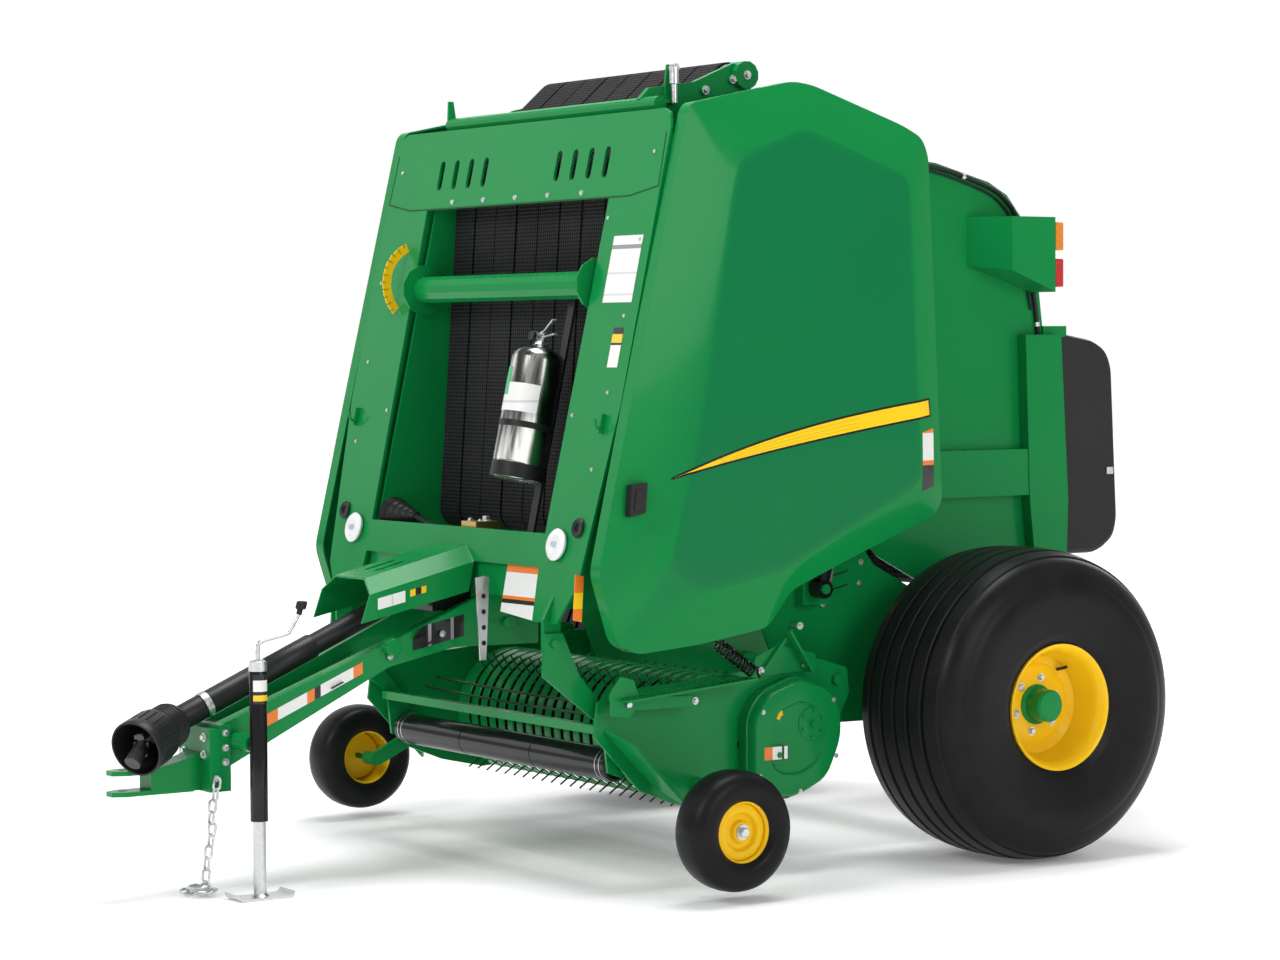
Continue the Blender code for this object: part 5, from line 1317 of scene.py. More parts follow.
def drive_shaft():
    """The guard's tubes and cone, the zinc collar and the yoke."""
    back = DRIVE_REAR
    run = (DRIVE_BEND - back).length
    guard, cone, yoke = Solid(), Solid(), Solid()
    slim, wide = 0.0378, 0.0438
    guard.lathe([(0, 0), (0, slim), (run * 0.40, slim), (run * 0.401, wide - 0.002),
                 (run * 0.405, wide), (run * 0.62, wide), (run * 0.622, wide - 0.0015),
                 (run * 0.628, wide - 0.0015), (run * 0.63, wide), (run, wide), (run, 0)], back,
                DRIVE_BEND, 40, closed=False)
    guard.piece("shaft_guard", PLASTIC, "frame", replaces=["driveline"])
    length = (CONE_MOUTH - DRIVE_BEND).length
    bell = [(-0.020, 0.046), (-0.014, 0.052), (0.000, 0.054), (0.006, 0.074), (0.012, 0.076)]
    for k in range(5):
        at = 0.018 + k * 0.013
        bell += [(at, 0.0785 + k * 0.0008), (at + 0.004, 0.0785 + k * 0.0008),
                 (at + 0.006, 0.0755 + k * 0.0008), (at + 0.010, 0.0755 + k * 0.0008)]
    bell += [(0.086, 0.083), (0.094, 0.090), (0.110, 0.0925), (length - 0.045, 0.0945),
             (length - 0.040, 0.0972), (length - 0.004, 0.098), (length, 0.0965), (length, 0.091),
             (length - 0.010, 0.0895), (0.112, 0.087), (0.090, 0.079), (0.030, 0.070), (0.020, 0.028),
             (-0.020, 0.028)]
    cone.lathe(bell, DRIVE_BEND, CONE_MOUTH, 48)
    along = (CONE_MOUTH - DRIVE_BEND).normalized()
    u, v = frame_of(along)
    for k in range(20):
        t = 2 * pi * k / 20
        out = cos(t) * u + sin(t) * v
        a, b = DRIVE_BEND + along * 0.112 + out * 0.0925, CONE_MOUTH - along * 0.046 + out * 0.0948
        cone.tube([a, b], 0.0022, 6)
    cone.piece("shaft_cone", PLASTIC, "frame", angle=30)
    collar = Solid()
    heading = (DRIVE_BEND - back).normalized()
    spot = back + heading * run * 0.865
    collar.lathe([(-0.012, wide), (-0.012, wide + 0.004), (0.012, wide + 0.004), (0.012, wide)],
                 spot, spot + heading, 40)
    collar.bolt(spot + Vector((0.044, 0, 0.012)), (1, 0, 0.3), 0.012)
    collar.piece("shaft_collar", ZINC, "frame")
    inner = DRIVE_BEND + along * 0.010
    yoke.rod(inner, inner + along * 0.125, 0.027, 24)
    hub = inner + along * 0.118
    for hand in (-1, 1):
        yoke.bar(hub + v * hand * 0.026, hub + along * 0.070 + v * hand * 0.030, 0.040, 0.016)
        yoke.rod(hub + along * 0.055 + v * hand * 0.018, hub + along * 0.055 + v * hand * 0.043,
                 0.016, 20)
    tip = CONE_MOUTH + Vector((0.010, -0.018, -0.048))
    yoke.rod(hub + along * 0.055, tip, 0.024, 24, 0.029, 0.003)
    yoke.rod(hub + along * 0.055 - u * 0.030, hub + along * 0.055 + u * 0.030, 0.012, 16)
    yoke.piece("shaft_yoke", CAST, "frame", 0.002)


drive_shaft()
print("shaft guard, cone, collar and yoke")


# %% [markdown]
# ## Safety chain
# A chain holds the baler if the hitch fails. A link is a wire bent to a stadium, and every other
# link is turned by a quarter. Below the hook the links hang in line, and on the floor they lie in a
# loose spiral. A physics run could drop them, but a formula gives the same heap each time.

# %% Safety chain
HITCH_HALF = 0.115
WIRE, LINK_LONG, LINK_WIDE = 0.0047, 0.048, 0.027


def link(made, centre, along, across):
    """One welded link: a wire bent to a stadium."""
    along = along.normalized()
    across = (across - across.dot(along) * along).normalized()
    straight, bend = (LINK_LONG - LINK_WIDE) / 2, (LINK_WIDE - 2 * WIRE) / 2 + WIRE * 0.5
    path = []
    for hand in (1, -1):
        for k in range(7):
            t = -pi / 2 + pi * k / 6
            path.append(centre + along * hand * (straight + bend * cos(t))
                        + across * hand * bend * sin(t))
    made.tube(path, WIRE, 8, loop=True)


def chain():
    """Links down to the floor, then a heap of two layers."""
    made = Solid()
    x = HITCH_HALF + 0.009
    top, foot = Vector((x, -2.7555, 0.392)), Vector((x, -2.800, 0.045))
    pitch = LINK_LONG - 2 * WIRE - 0.001
    run = foot - top
    count = int(run.length / pitch)
    for k in range(count):
        place = top + run * (k + 0.3) / count
        sway = Vector((0.003 * sin(k * 1.9), 0.004 * cos(k * 1.3), 0))
        link(made, place + sway, run, Vector((1, 0.2, 0)) if k % 2 else Vector((0.2, 1, 0)))
    reach, turn = 0.020, 0.0
    while reach < 0.058:
        level = 0.0300 if turn < 5.5 else 0.0168
        place = Vector((x - 0.002 + reach * cos(turn), -2.818 + reach * sin(turn), level))
        heading = Vector((-sin(turn), cos(turn), 0.10 * sin(turn * 3)))
        tilt = Vector((0, 0, 1)) if int(turn / 0.55) % 2 else Vector((cos(turn), sin(turn), 0.5))
        link(made, place, heading, tilt)
        turn += pitch / reach
        reach += 0.0042
    made.rod((HITCH_HALF - 0.002, -2.755, 0.398), (HITCH_HALF + 0.012, -2.755, 0.398), 0.011, 16)
    made.piece("linked_chain", ZINC, "frame", replaces=["safety_chain"])


chain()
print("safety chain linked")


# %% [markdown]
# ## Jack
# With no tractor, the drawbar stands on a screw jack: a black tube, a plated leg with a foot plate
# whose toes turn up, and a crank on top. Round parts are turned, and the crank is a rod swept along
# a smooth curve, which is how the real one is bent.

# %% Tube, leg, crank and knob
JACK_X, JACK_Y, JACK_FOOT, JACK_TOP = 0.265, -2.667, 0.262, 0.800


def jack():
    """The jack's tube and crank ride on the tube's body, its leg on the leg's body."""
    axis = Vector((JACK_X, JACK_Y, 0))
    up = Vector((0, 0, 1))
    tube, leg, crank, knob = Solid(), Solid(), Solid(), Solid()
    tube.lathe([(JACK_FOOT, 0.0235), (JACK_FOOT, 0.030), (JACK_TOP - 0.004, 0.030),
                (JACK_TOP, 0.0285), (JACK_TOP, 0.0), (JACK_TOP - 0.05, 0.0),
                (JACK_TOP - 0.06, 0.0235)], axis, axis + up, 40, closed=False)
    tube.rod((0.126, JACK_Y, 0.520), (JACK_X - 0.024, JACK_Y, 0.520), 0.0195, 24)
    tube.piece("jack_round_tube", BLACK, "jack", replaces=["jack_tube"])
    cap = Solid().lathe([(JACK_TOP - 0.030, 0.030), (JACK_TOP - 0.030, 0.0312),
                         (JACK_TOP + 0.002, 0.0312), (JACK_TOP + 0.008, 0.020),
                         (JACK_TOP + 0.008, 0)], axis, axis + up, 32, closed=False)
    cap.piece("jack_cap", ZINC, "jack")
    sign = banded("label_jack", [(0.0, INK), (0.10, SUN), (0.30, INK), (0.42, PALE), (0.80, INK)],
                  "z", 0.66, 0.76)
    plate = Solid()
    rings = []
    for k in range(17):
        t = radians(-60 + 110 * k / 16)
        out = Vector((cos(t), sin(t), 0))
        rings.append([axis + out * r + up * z for r, z in
                      ((0.0302, 0.66), (0.0302, 0.76), (0.0310, 0.76), (0.0310, 0.66))])
    plate.loft(rings).piece("jack_label", sign, "jack")
    leg.rod((JACK_X, JACK_Y, 0.006), (JACK_X, JACK_Y, 0.440), 0.0218, 36)
    foot = [(-0.105, 0.016), (-0.100, 0.006), (-0.088, 0.001), (0.088, 0.001), (0.100, 0.006),
            (0.105, 0.016)]
    sole = [Vector((JACK_X - 0.055, JACK_Y + dy, z)) for dy, z in foot]
    sole += [Vector((JACK_X - 0.055, JACK_Y + dy, z + 0.007)) for dy, z in reversed(foot)]
    leg.plate(sole, (0.110, 0, 0))
    leg.lathe([(0.006, 0.022), (0.006, 0.034), (0.010, 0.030), (0.014, 0.024), (0.016, 0.022)], axis,
              axis + up, 32)
    leg.piece("jack_round_leg", ZINC, "jack_leg", replaces=["jack_leg"])
    elbow = axis + up * (JACK_TOP + 0.060)
    knee = elbow + Vector((0, 0.115, 0.030))
    hand = knee + Vector((0, 0.045, 0.070))
    crank.tube(smooth_path([axis + up * (JACK_TOP - 0.005), axis + up * (JACK_TOP + 0.040),
                            elbow + Vector((0, 0.012, 0.008)), knee - Vector((0, 0.012, 0.002)),
                            knee + Vector((0, 0.010, 0.014)), hand], 6), 0.0078, 14)
    crank.piece("jack_crank", ZINC, "jack")
    top = hand + Vector((0, 0.012, 0.042))
    knob.rod(hand - Vector((0, 0.002, 0.008)), hand + Vector((0, 0.004, 0.014)), 0.010, 20)
    for k in range(6):
        t = 2 * pi * k / 6
        knob.rod(hand + Vector((0.010 * cos(t), 0.010 * sin(t) + 0.004, 0.010)),
                 top + Vector((0.010 * cos(t), 0.010 * sin(t), -0.004)), 0.0085, 16, round_off=0.004)
    knob.piece("jack_knob", PLASTIC, "jack")
    pin = Solid()
    pin.tube(smooth_path([(0.128, -2.640, 0.500), (0.165, -2.640, 0.500), (0.182, -2.643, 0.520),
                          (0.186, -2.648, 0.62), (0.184, -2.650, 0.700), (0.176, -2.645, 0.722),
                          (0.160, -2.638, 0.722)], 6), 0.0055, 10)
    pin.piece("jack_pull_pin", ZINC, "frame")


jack()
print("jack with crank, knob and pull pin")


# %% [markdown]
# ## Hoses
# Two hydraulic hoses leave a brass valve block and go into the frame at each side. Each is a round
# tube swept along the route of its solid, and its length is measured along that route. A ribbed boot
# and hexagon fittings finish its ends.

# %% Hoses, boot and fittings
valve_low, valve_high = resting(*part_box("valve_block"))
hose_y, hose_z = (valve_low[1] + valve_high[1]) / 2, valve_low[2]


def hose(name, node, finish, route):
    """A hose along its solid's own route; gives back its length."""
    path = smooth_path(route, 4)
    length = sum((b - a).length for a, b in zip(path, path[1:]))
    made = Solid().tube(path, 0.012, 16).piece(name, finish, "frame", replaces=[node])
    return length


long_left = hose("bent_hose_left", "hose_left", HOSE, [
    (0.1559, hose_y, hose_z + 0.045), (0.20, hose_y, hose_z + 0.045),
    (0.28, hose_y - 0.015, hose_z + 0.030), (0.38, hose_y - 0.035, hose_z + 0.018),
    (0.48, hose_y - 0.015, hose_z + 0.016), (0.560, hose_y, hose_z + 0.018),
    (0.597, hose_y, hose_z + 0.018)])
neck = Vector((-0.430, hose_y + 0.030, hose_z + 0.078))
long_right = hose("bent_hose_right", "hose_right", HOSE, [
    (-0.016, hose_y, hose_z + 0.045), (-0.05, hose_y, hose_z + 0.045),
    (-0.12, hose_y - 0.01, hose_z + 0.050), (-0.26, hose_y - 0.01, hose_z + 0.056),
    (-0.440, hose_y + 0.030, hose_z + 0.078)])
boot = Solid()
steps = [(0.0, 0.0125), (0.0, 0.017)]
for k in range(5):
    at = 0.006 + k * 0.030
    steps += [(at, 0.018 + 0.0095 * k), (at + 0.012, 0.0215 + 0.0095 * k),
              (at + 0.020, 0.0205 + 0.0095 * k)]
steps += [(0.168, 0.068), (0.1695, 0.066), (0.1695, 0.056), (0.150, 0.052), (0.020, 0.0125)]
boot.lathe(steps, neck, neck - Vector((1, 0, 0)), 40)
boot.piece("hose_boot", PLASTIC, "frame", angle=30)
fittings = Solid()
for x0, x1, wide in ((-0.036, -0.016, 0.016), (-0.070, -0.036, 0.0138), (0.134, 0.158, 0.016),
                     (0.158, 0.190, 0.0138)):
    fittings.rod((x0, hose_y, hose_z + 0.045), (x1, hose_y, hose_z + 0.045), wide,
                 6 if wide > 0.015 else 24)
for x, y, tall in ((0.045, -0.028, 0.018), (0.075, 0.020, 0.030), (0.100, -0.020, 0.014)):
    fittings.bolt((x, hose_y + y, hose_z + 0.085), (0, 0, 1), tall)
fittings.piece("hose_fittings", ZINC, "frame", 0.001)
print(f"hoses {long_left:.3f} m and {long_right:.3f} m long")


# %% [markdown]
# ## Front panel fittings
# Small parts make a machine believable: the hem bolts, the two round white discs on stalks, rubber
# grommets, hook brackets for the hoses, blank plates, and the segmented scale that shows how big
# the bale has grown. All of them stand on the leaning panel, so one function gives its plane.

# %% The panel's plane
FRONT_FOOT = -2.004


def panel(x, z, out=0.0):
    """A point on the leaning panel's face, or so far out from it."""
    return Vector((x, FRONT_FOOT + tan(LEAN) * z, z)) - inward * out


print("the panel leans by", round(tan(LEAN), 3), "m to a metre")

# %% Bolts, discs, grommets and hooks
fitted, discs, rubber, hooks = Solid(), Solid(), Solid(), Solid()
for k in range(5):
    fitted.bolt(panel(-0.44 + 0.22 * k, 2.394), -inward, 0.014)
for x, z in ((0.855, 2.52), (0.862, 2.22), (0.850, 1.96), (0.834, 1.70), (0.822, 1.44),
             (-0.855, 2.52), (-0.862, 2.10), (-0.850, 1.80), (-0.830, 1.50), (0.640, 2.30),
             (0.640, 1.62), (-0.640, 1.62)):
    fitted.bolt(panel(x, z), -inward, 0.010)
for hand in (-1, 1):
    spot = panel(hand * 0.704, 1.179)
    discs.lathe([(0, 0), (0, 0.052), (0.010, 0.056), (0.016, 0.050), (0.018, 0.036), (0.012, 0.030),
                 (0.012, 0)],
                spot - inward * 0.006, spot - inward, 48, closed=False)
    fitted.rod(spot, spot - inward * 0.030, 0.010, 20)
    grommet = panel(hand * 0.809, 1.241)
    rubber.lathe([(0, 0), (0, 0.030), (0.006, 0.034), (0.012, 0.030), (0.010, 0.016), (0.004, 0.014),
                  (0.004, 0)],
                 grommet, grommet - inward, 36, closed=False)
    a = panel(hand * 0.848, 1.575)
    wire = [a, a - inward * 0.024, a - inward * 0.034 + Vector((0, 0, 0.010)),
            a - inward * 0.034 + Vector((0, 0, 0.030))]
    hooks.tube(smooth_path(wire, 5), 0.005, 10)
    low, high = panel(hand * 0.848, 1.560), panel(hand * 0.848, 1.625)
    hooks.bar(low - inward * 0.004, high - inward * 0.004, 0.030, 0.008)
fitted.piece("panel_bolts", ZINC, "frame")
discs.piece("white_discs", WHITE, "frame")
rubber.piece("panel_grommets", PLASTIC, "frame")
hooks.piece("hose_hooks", GREEN, "frame")
print("bolts, discs, grommets and hooks")

# %% Panel labels
front_sheet = [nodes["front_panel"]]
flat_on = (inward.x, inward.y, inward.z)


def panel_label(name, finish, x0, x1, z0, z1, slant=0.0):
    """A label flat on the panel, between two widths and two heights."""
    corners = [panel(x0, z0), panel(x1, z0 + slant), panel(x1, z1 + slant), panel(x0, z1)]
    sticker(name, finish, "frame", corners, front_sheet, flat_on, cells=(2, 2))


sheet_label = banded("label_guide",
                     [(0.0, PALE), (0.10, (0.62, 0.63, 0.64)), (0.13, PALE),
                      (0.42, (0.60, 0.61, 0.62)), (0.45, PALE), (0.80, (0.25, 0.26, 0.27)),
                      (0.86, PALE)], "z", 2.006, 2.235)
panel_label("label_guide_plate", sheet_label, 0.700, 0.878, 2.006, 2.235)
small = banded("label_small", [(0.0, PALE), (0.52, INK), (0.58, SUN), (0.80, INK)], "z", 1.790, 1.925)
panel_label("label_small_plates", small, 0.800, 0.862, 1.785, 1.920)
strip = banded("label_strip", [(0.0, SUN), (0.25, WARN), (0.5, SUN), (0.75, WARN)], "z", 0.870, 1.082)
tall = Solid()
a, b = Vector((0.868, *panel(0, 1.085, 0.004)[1:])), Vector((0.905, *panel(0, 0.935, 0.004)[1:]))
tall.bar(a, b, 0.034, 0.004)
tall.piece("label_edge_strip", strip, "frame")
print("two plates and an edge strip, all blank")

# %% Header seam
seam = Solid()
path = [panel(0.905, 2.585, -0.001), panel(0.915, 2.400, -0.001), panel(0.745, 2.372, -0.001),
        panel(-0.745, 2.372, -0.001), panel(-0.915, 2.400, -0.001), panel(-0.905, 2.585, -0.001)]
for a, b in zip(path, path[1:]):
    seam.bar(a, b, 0.004, 0.006)
seam.piece("header_seam", DARK_GREEN, "frame")
print("seam of", len(path), "points")

# %% Marks on the scale
scale_low, scale_high = resting(*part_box("bale_size_scale"))
ARC_OUT, ARC_IN = 0.165, 0.131
sag = ARC_IN * cos(radians(55))
arc_heart = panel(0, 2.110) + inward * sag
ticks = Solid()
for k in range(-5, 6):
    t = pi - LEAN + radians(10 * k)
    out = Vector((0, cos(t), sin(t)))
    reach = 0.012 if k % 2 else 0.020
    spot = Vector((scale_high[0] + 0.0005, arc_heart.y, arc_heart.z))
    ticks.bar(spot + out * (ARC_OUT - 0.001), spot + out * (ARC_OUT - reach), 0.003, 0.001)
    ticks.bar(spot + out * (ARC_OUT + 0.0004) - Vector((0.006, 0, 0)),
              spot + out * (ARC_OUT + 0.0004), 0.001, 0.003)
ticks.piece("scale_ticks", BLACK, "frame")
print("scale box", [round(v, 3) for v in scale_low], [round(v, 3) for v in scale_high])


# %% [markdown]
# ## Drawbar fittings
# The drawbar is two box rails that meet at the hitch block. Blank labels lie on the left rail, bolts
# go through the block, and a slotted plate that stores the pickup's stop hangs beside it. The rail
# runs at a slight angle, so one function gives its face at any length along it.

# %% Labels on the rail and the cover
rails = [nodes["drawbar"]]


def rail_label(name, finish, points):
    """A label on the left rail's outer face."""
    sticker(name, finish, "frame", points, rails, (-1, 0, 0), cells=(4, 2))


def rail_x(y):
    """The outer face of the left rail at a length along the machine."""
    return 0.115 + 0.1 * (y + 2.72)


dark = banded("label_dark",
              [(0.0, INK), (0.30, (0.30, 0.30, 0.31)), (0.36, INK), (0.74, (0.25, 0.25, 0.26)),
               (0.80, INK)], "y", -2.010, -1.812)
rail_label("label_rail_rear", dark,
           [(rail_x(-2.010) + 0.03, -2.010, 0.795), (rail_x(-1.812) + 0.03, -1.812, 0.838),
            (rail_x(-1.812) + 0.03, -1.812, 0.915), (rail_x(-2.010) + 0.03, -2.010, 0.872)])
long = banded("label_long",
              [(0.0, WARN), (0.12, PALE), (0.42, WARN), (0.50, INK), (0.56, PALE), (0.90, WARN)], "y",
              -2.560, -2.200)
rail_label("label_rail_front", long,
           [(rail_x(-2.56) + 0.03, -2.560, 0.560), (rail_x(-2.2) + 0.03, -2.200, 0.725),
            (rail_x(-2.2) + 0.03, -2.200, 0.765), (rail_x(-2.56) + 0.03, -2.560, 0.602)])
cover = [nodes["gearbox_cover"]]
white = banded("label_white", [(0.0, PALE), (0.5, (0.62, 0.63, 0.64)), (0.56, PALE)], "y", -2.150,
               -2.040)
yellow = banded("label_yellow", [(0.0, SUN), (0.35, INK), (0.75, SUN)], "y", -2.020, -1.960)
sticker("label_cover_white", white, "frame",
        [(0.22, -2.150, 0.945), (0.22, -2.040, 0.968), (0.22, -2.040, 1.008),
         (0.22, -2.150, 0.985)], cover, (-1, 0, 0), cells=(2, 2))
sticker("label_cover_yellow", yellow, "frame",
        [(0.22, -2.020, 0.985), (0.22, -1.955, 0.998), (0.22, -1.955, 1.022),
         (0.22, -2.020, 1.009)], cover, (-1, 0, 0), cells=(2, 2))
print("four labels")

# %% Bolts, bosses and holes in painted shade
hardware = Solid()
for z in (0.450, 0.500, 0.550):
    hardware.bolt((HITCH_HALF, -2.715, z), (1, 0, 0), 0.018)
for x in (-0.075, 0.075):
    for z in (0.475, 0.535):
        hardware.bolt((x, -2.775, z), (0, -1, 0), 0.022)
for y, z in ((-2.60, 0.52), (-2.10, 0.78), (-1.90, 0.85)):
    hardware.bolt((rail_x(y) - 0.006, y, z), (1, 0.1, 0), 0.018)
hardware.piece("drawbar_bolts", ZINC, "frame")
bosses, holes = Solid(), Solid()
bosses.rod((rail_x(-2.097) - 0.020, -2.097, 0.815), (rail_x(-2.097) + 0.022, -2.097, 0.815), 0.030,
           28, round_off=0.003)
bosses.rod((rail_x(-1.640) - 0.020, -1.640, 0.880), (rail_x(-1.640) + 0.012, -1.640, 0.880), 0.022,
           24, round_off=0.002)
bosses.piece("rail_bosses", GREEN, "frame")
# The rail's holes are dark plastic patches: painted shade where each hole is.
for y, z in ((-2.300, 0.690), (-1.960, 0.815)):
    a = Vector((rail_x(y) - 0.0085, y, z))
    holes.bar(a - Vector((0, 0.022, 0.010)), a + Vector((0, 0.022, 0.010)), 0.022, 0.002)
holes.piece("rail_holes_painted_shade", PLASTIC, "frame")
print("bolts, bosses and holes")

# %% Stop plate and sign plate
slotted = Solid()
outline = [(0.300, -1.815, 0.760), (0.300, -1.790, 0.760), (0.300, -1.775, 1.050),
           (0.300, -1.800, 1.056), (0.300, -1.832, 1.050)]
slotted.plate(outline, (0.006, 0, 0))
slotted.piece("stop_plate", ZINC, "frame", 0.001)
# Dark plastic discs on the plate: painted shade where its holes are.
slots = Solid()
for k in range(4):
    z = 0.82 + 0.055 * k
    slots.rod((0.3055, -1.800, z), (0.3068, -1.800, z), 0.009, 20)
slots.piece("stop_plate_holes_painted_shade", PLASTIC, "frame")
sign_plate = Solid()
sign_plate.plate([(0.38, -1.778, 0.935), (0.60, -1.778, 0.915), (0.60, -1.742, 1.100),
                  (0.38, -1.742, 1.115)], (0, 0.006, 0))
warning = banded("label_sign", [(0.0, PALE), (0.22, INK), (0.30, WARN), (0.36, PALE), (0.80, WARN)],
                 "z", 0.925, 1.110)
sign_plate.piece("sign_plate", warning, "frame", 0.001)
print("stop plate and sign plate")


# %% [markdown]
# ## Pickup fittings
# The pickup floats: a coil spring carries part of its weight, and a slotted link lets it rise over a
# bump. A spring is a helix whose radius and pitch are simple formulas. The links and levers are cut
# from plate, so each is an outline with a thickness and a bolt through it.

# %% Springs, links and levers
def coil(a, b, radius, wire, turns):
    """A helical spring between two points, with hooks at its ends."""
    a, b = Vector(a), Vector(b)
    along = (b - a).normalized()
    u, v = frame_of(along)
    path = [a]
    steps = turns * 14
    for k in range(steps + 1):
        t = 2 * pi * k / 14
        path.append(a.lerp(b, 0.12 + 0.76 * k / steps) + radius * (cos(t) * u + sin(t) * v))
    return Solid().tube(path + [b], wire, 8)


def float_linkage(side_name, sign):
    """One end of the pickup: its spring, link, lever, studs and pins."""
    spring = coil((sign * 0.885, -1.229, 0.841), (sign * 0.885, -1.029, 0.700), 0.020, 0.0045, 12)
    spring.piece(f"lift_spring_{side_name}", BLACK, "pickup")
    link_bar = Solid()
    link_bar.plate([(sign * 0.858, -1.590, 0.640), (sign * 0.858, -1.570, 0.615),
                    (sign * 0.858, -1.290, 0.612), (sign * 0.858, -1.270, 0.630),
                    (sign * 0.858, -1.290, 0.652), (sign * 0.858, -1.570, 0.662)],
                   (sign * 0.008, 0, 0))
    link_bar.plate([(sign * 0.864, -1.640, 0.600), (sign * 0.864, -1.560, 0.590),
                    (sign * 0.864, -1.520, 0.650), (sign * 0.864, -1.545, 0.720),
                    (sign * 0.864, -1.600, 0.735), (sign * 0.864, -1.645, 0.680)],
                   (sign * 0.006, 0, 0))
    link_bar.piece(f"float_link_{side_name}", GREEN, "pickup", 0.002)
    studs = Solid().bolt((sign * 0.866, -1.570, 0.638), (sign, 0, 0), 0.026)
    studs.bolt((sign * 0.866, -1.290, 0.632), (sign, 0, 0), 0.018)
    if sign > 0:
        for y, z in ((-1.010, 0.575), (-0.700, 0.600), (-0.690, 0.400), (-0.850, 0.285),
                     (-1.025, 0.350)):
            studs.bolt((0.880, y, z), (1, 0, 0), 0.012)
    studs.piece(f"pickup_studs_{side_name}", ZINC, "pickup")
    lever = Solid()
    x = sign * 0.795
    lever.bar((x, -0.960, 0.700), (x, -0.815, 0.865), 0.030, 0.012)
    lever.bar((x + sign * 0.030, -0.760, 0.700), (x + sign * 0.030, -0.860, 0.850), 0.034, 0.010)
    lever.plate([(x - sign * 0.006, -1.000, 0.690), (x - sign * 0.006, -0.700, 0.700),
                 (x - sign * 0.006, -0.720, 0.760), (x - sign * 0.006, -0.880, 0.800),
                 (x - sign * 0.006, -0.980, 0.760)], (sign * 0.006, 0, 0))
    lever.rod((x - sign * 0.008, -0.815, 0.865), (x + sign * 0.040, -0.815, 0.865), 0.016, 24)
    lever.piece(f"lift_lever_{side_name}", GREEN, "pickup", 0.001)
    pins = Solid()
    for y, z in ((-0.815, 0.865), (-0.960, 0.712), (-0.770, 0.722)):
        pins.bolt((x + sign * (0.040 if z > 0.8 else 0.006), y, z), (sign, 0, 0), 0.018)
    pins.piece(f"lift_pins_{side_name}", ZINC, "pickup")


for side_name, sign in SIDES:
    float_linkage(side_name, sign)
print("springs, links, levers and pins")

# %% Drive cover label
housing = [nodes["pickup_drive_cover"]]
orange = banded("label_orange", [(0.0, WARN), (0.3, PALE), (0.7, INK), (0.8, PALE)], "y", -1.000,
                -0.900)
sticker("label_drive_cover", orange, "pickup",
        [(0.92, -1.005, 0.405), (0.92, -0.905, 0.405), (0.92, -0.905, 0.450),
         (0.92, -1.005, 0.450)], housing, (-1, 0, 0), cells=(2, 2))
print("one blank label")


# %% [markdown]
# ## Tailgate fittings
# The tailgate carries the lamps, an amber and a red one a side on a black plate, and a hose and a
# lead that follow its top edge. A lens is a short block whose last rings shrink, so that its rim is
# rounded. The hose is swept along a curve through a dozen places.

# %% Lamps
def lamps(side_name, sign):
    """A plate with two lenses on it."""
    low, high = resting(*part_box(f"lamps_{side_name}"))
    back = low[1]
    plate = Solid().box((low[0], back, low[2]), (high[0], back + 0.007, high[2]))
    plate.piece(f"lamp_plate_{side_name}", PLASTIC, "tailgate", 0.002,
                replaces=[f"lamps_{side_name}"])
    for name, finish, z0, z1 in (("amber", AMBER, 2.205, 2.312), ("red", RED, 2.068, 2.175)):
        glass = Solid()
        reach = 0.016 * sign
        x0, x1 = low[0] + 0.006 + reach, high[0] - 0.006 + reach
        ring = [(x0, z0), (x1, z0), (x1, z1), (x0, z1)]
        middle = ((x0 + x1) / 2, (z0 + z1) / 2)
        rows = []
        for y, share in ((0.005, 1.0), (0.040, 1.0), (0.046, 0.93), (0.048, 0.80)):
            rows.append([(middle[0] + (x - middle[0]) * share, back + y,
                          middle[1] + (z - middle[1]) * share) for x, z in ring])
        glass.loft(rows).piece(f"lamp_{name}_{side_name}", finish, "tailgate", 0.004)


for side_name, sign in SIDES:
    lamps(side_name, sign)
print("four lenses")

# %% Hose along the gate
HOSE_X = 0.618
GATE_RUN = ((-0.330, 2.535), (-0.290, 2.540), (-0.013, 2.510), (0.220, 2.448), (0.312, 2.400),
            (0.372, 2.330), (0.415, 2.200), (0.440, 2.100), (0.462, 2.000), (0.480, 1.850),
            (0.486, 1.650), (0.480, 1.520))
lead = Solid().tube(smooth_path([(HOSE_X, y, z) for y, z in GATE_RUN], 4), 0.009, 12)
lead.tube(smooth_path([(HOSE_X, y - 0.020, z - 0.016) for y, z in GATE_RUN[:9]], 4), 0.005, 8)
lead.piece("gate_hose", HOSE, "tailgate")
clips = Solid()
for y, z, dy, dz in ((-0.150, 2.526, 0.97, -0.14), (0.110, 2.479, 0.97, -0.26),
                     (0.470, 1.930, 0.1, -1.0)):
    clips.lathe([(-0.008, 0.009), (-0.008, 0.0115), (0.008, 0.0115), (0.008, 0.009)], (HOSE_X, y, z),
                (HOSE_X, y + dy, z + dz), 20)
clips.piece("gate_hose_clips", ZINC, "tailgate")
print("gate hose on", len(GATE_RUN), "places")


# %% [markdown]
# ## Rear cover
# A plastic cover closes the box where net wrap is kept. It is one deep tray with rolled corners,
# lofted across the machine from its side outline; the last outlines are a little smaller, which
# rolls the side edges. A bevel could do that, but the wall has to keep its thickness inside too.

# %% Rear cover
COVER_OUTER = ((0.592, 1.900), (0.780, 1.868), (0.840, 1.832), (0.868, 1.770), (0.897, 1.172),
               (0.878, 1.105), (0.800, 1.050), (0.600, 1.050))


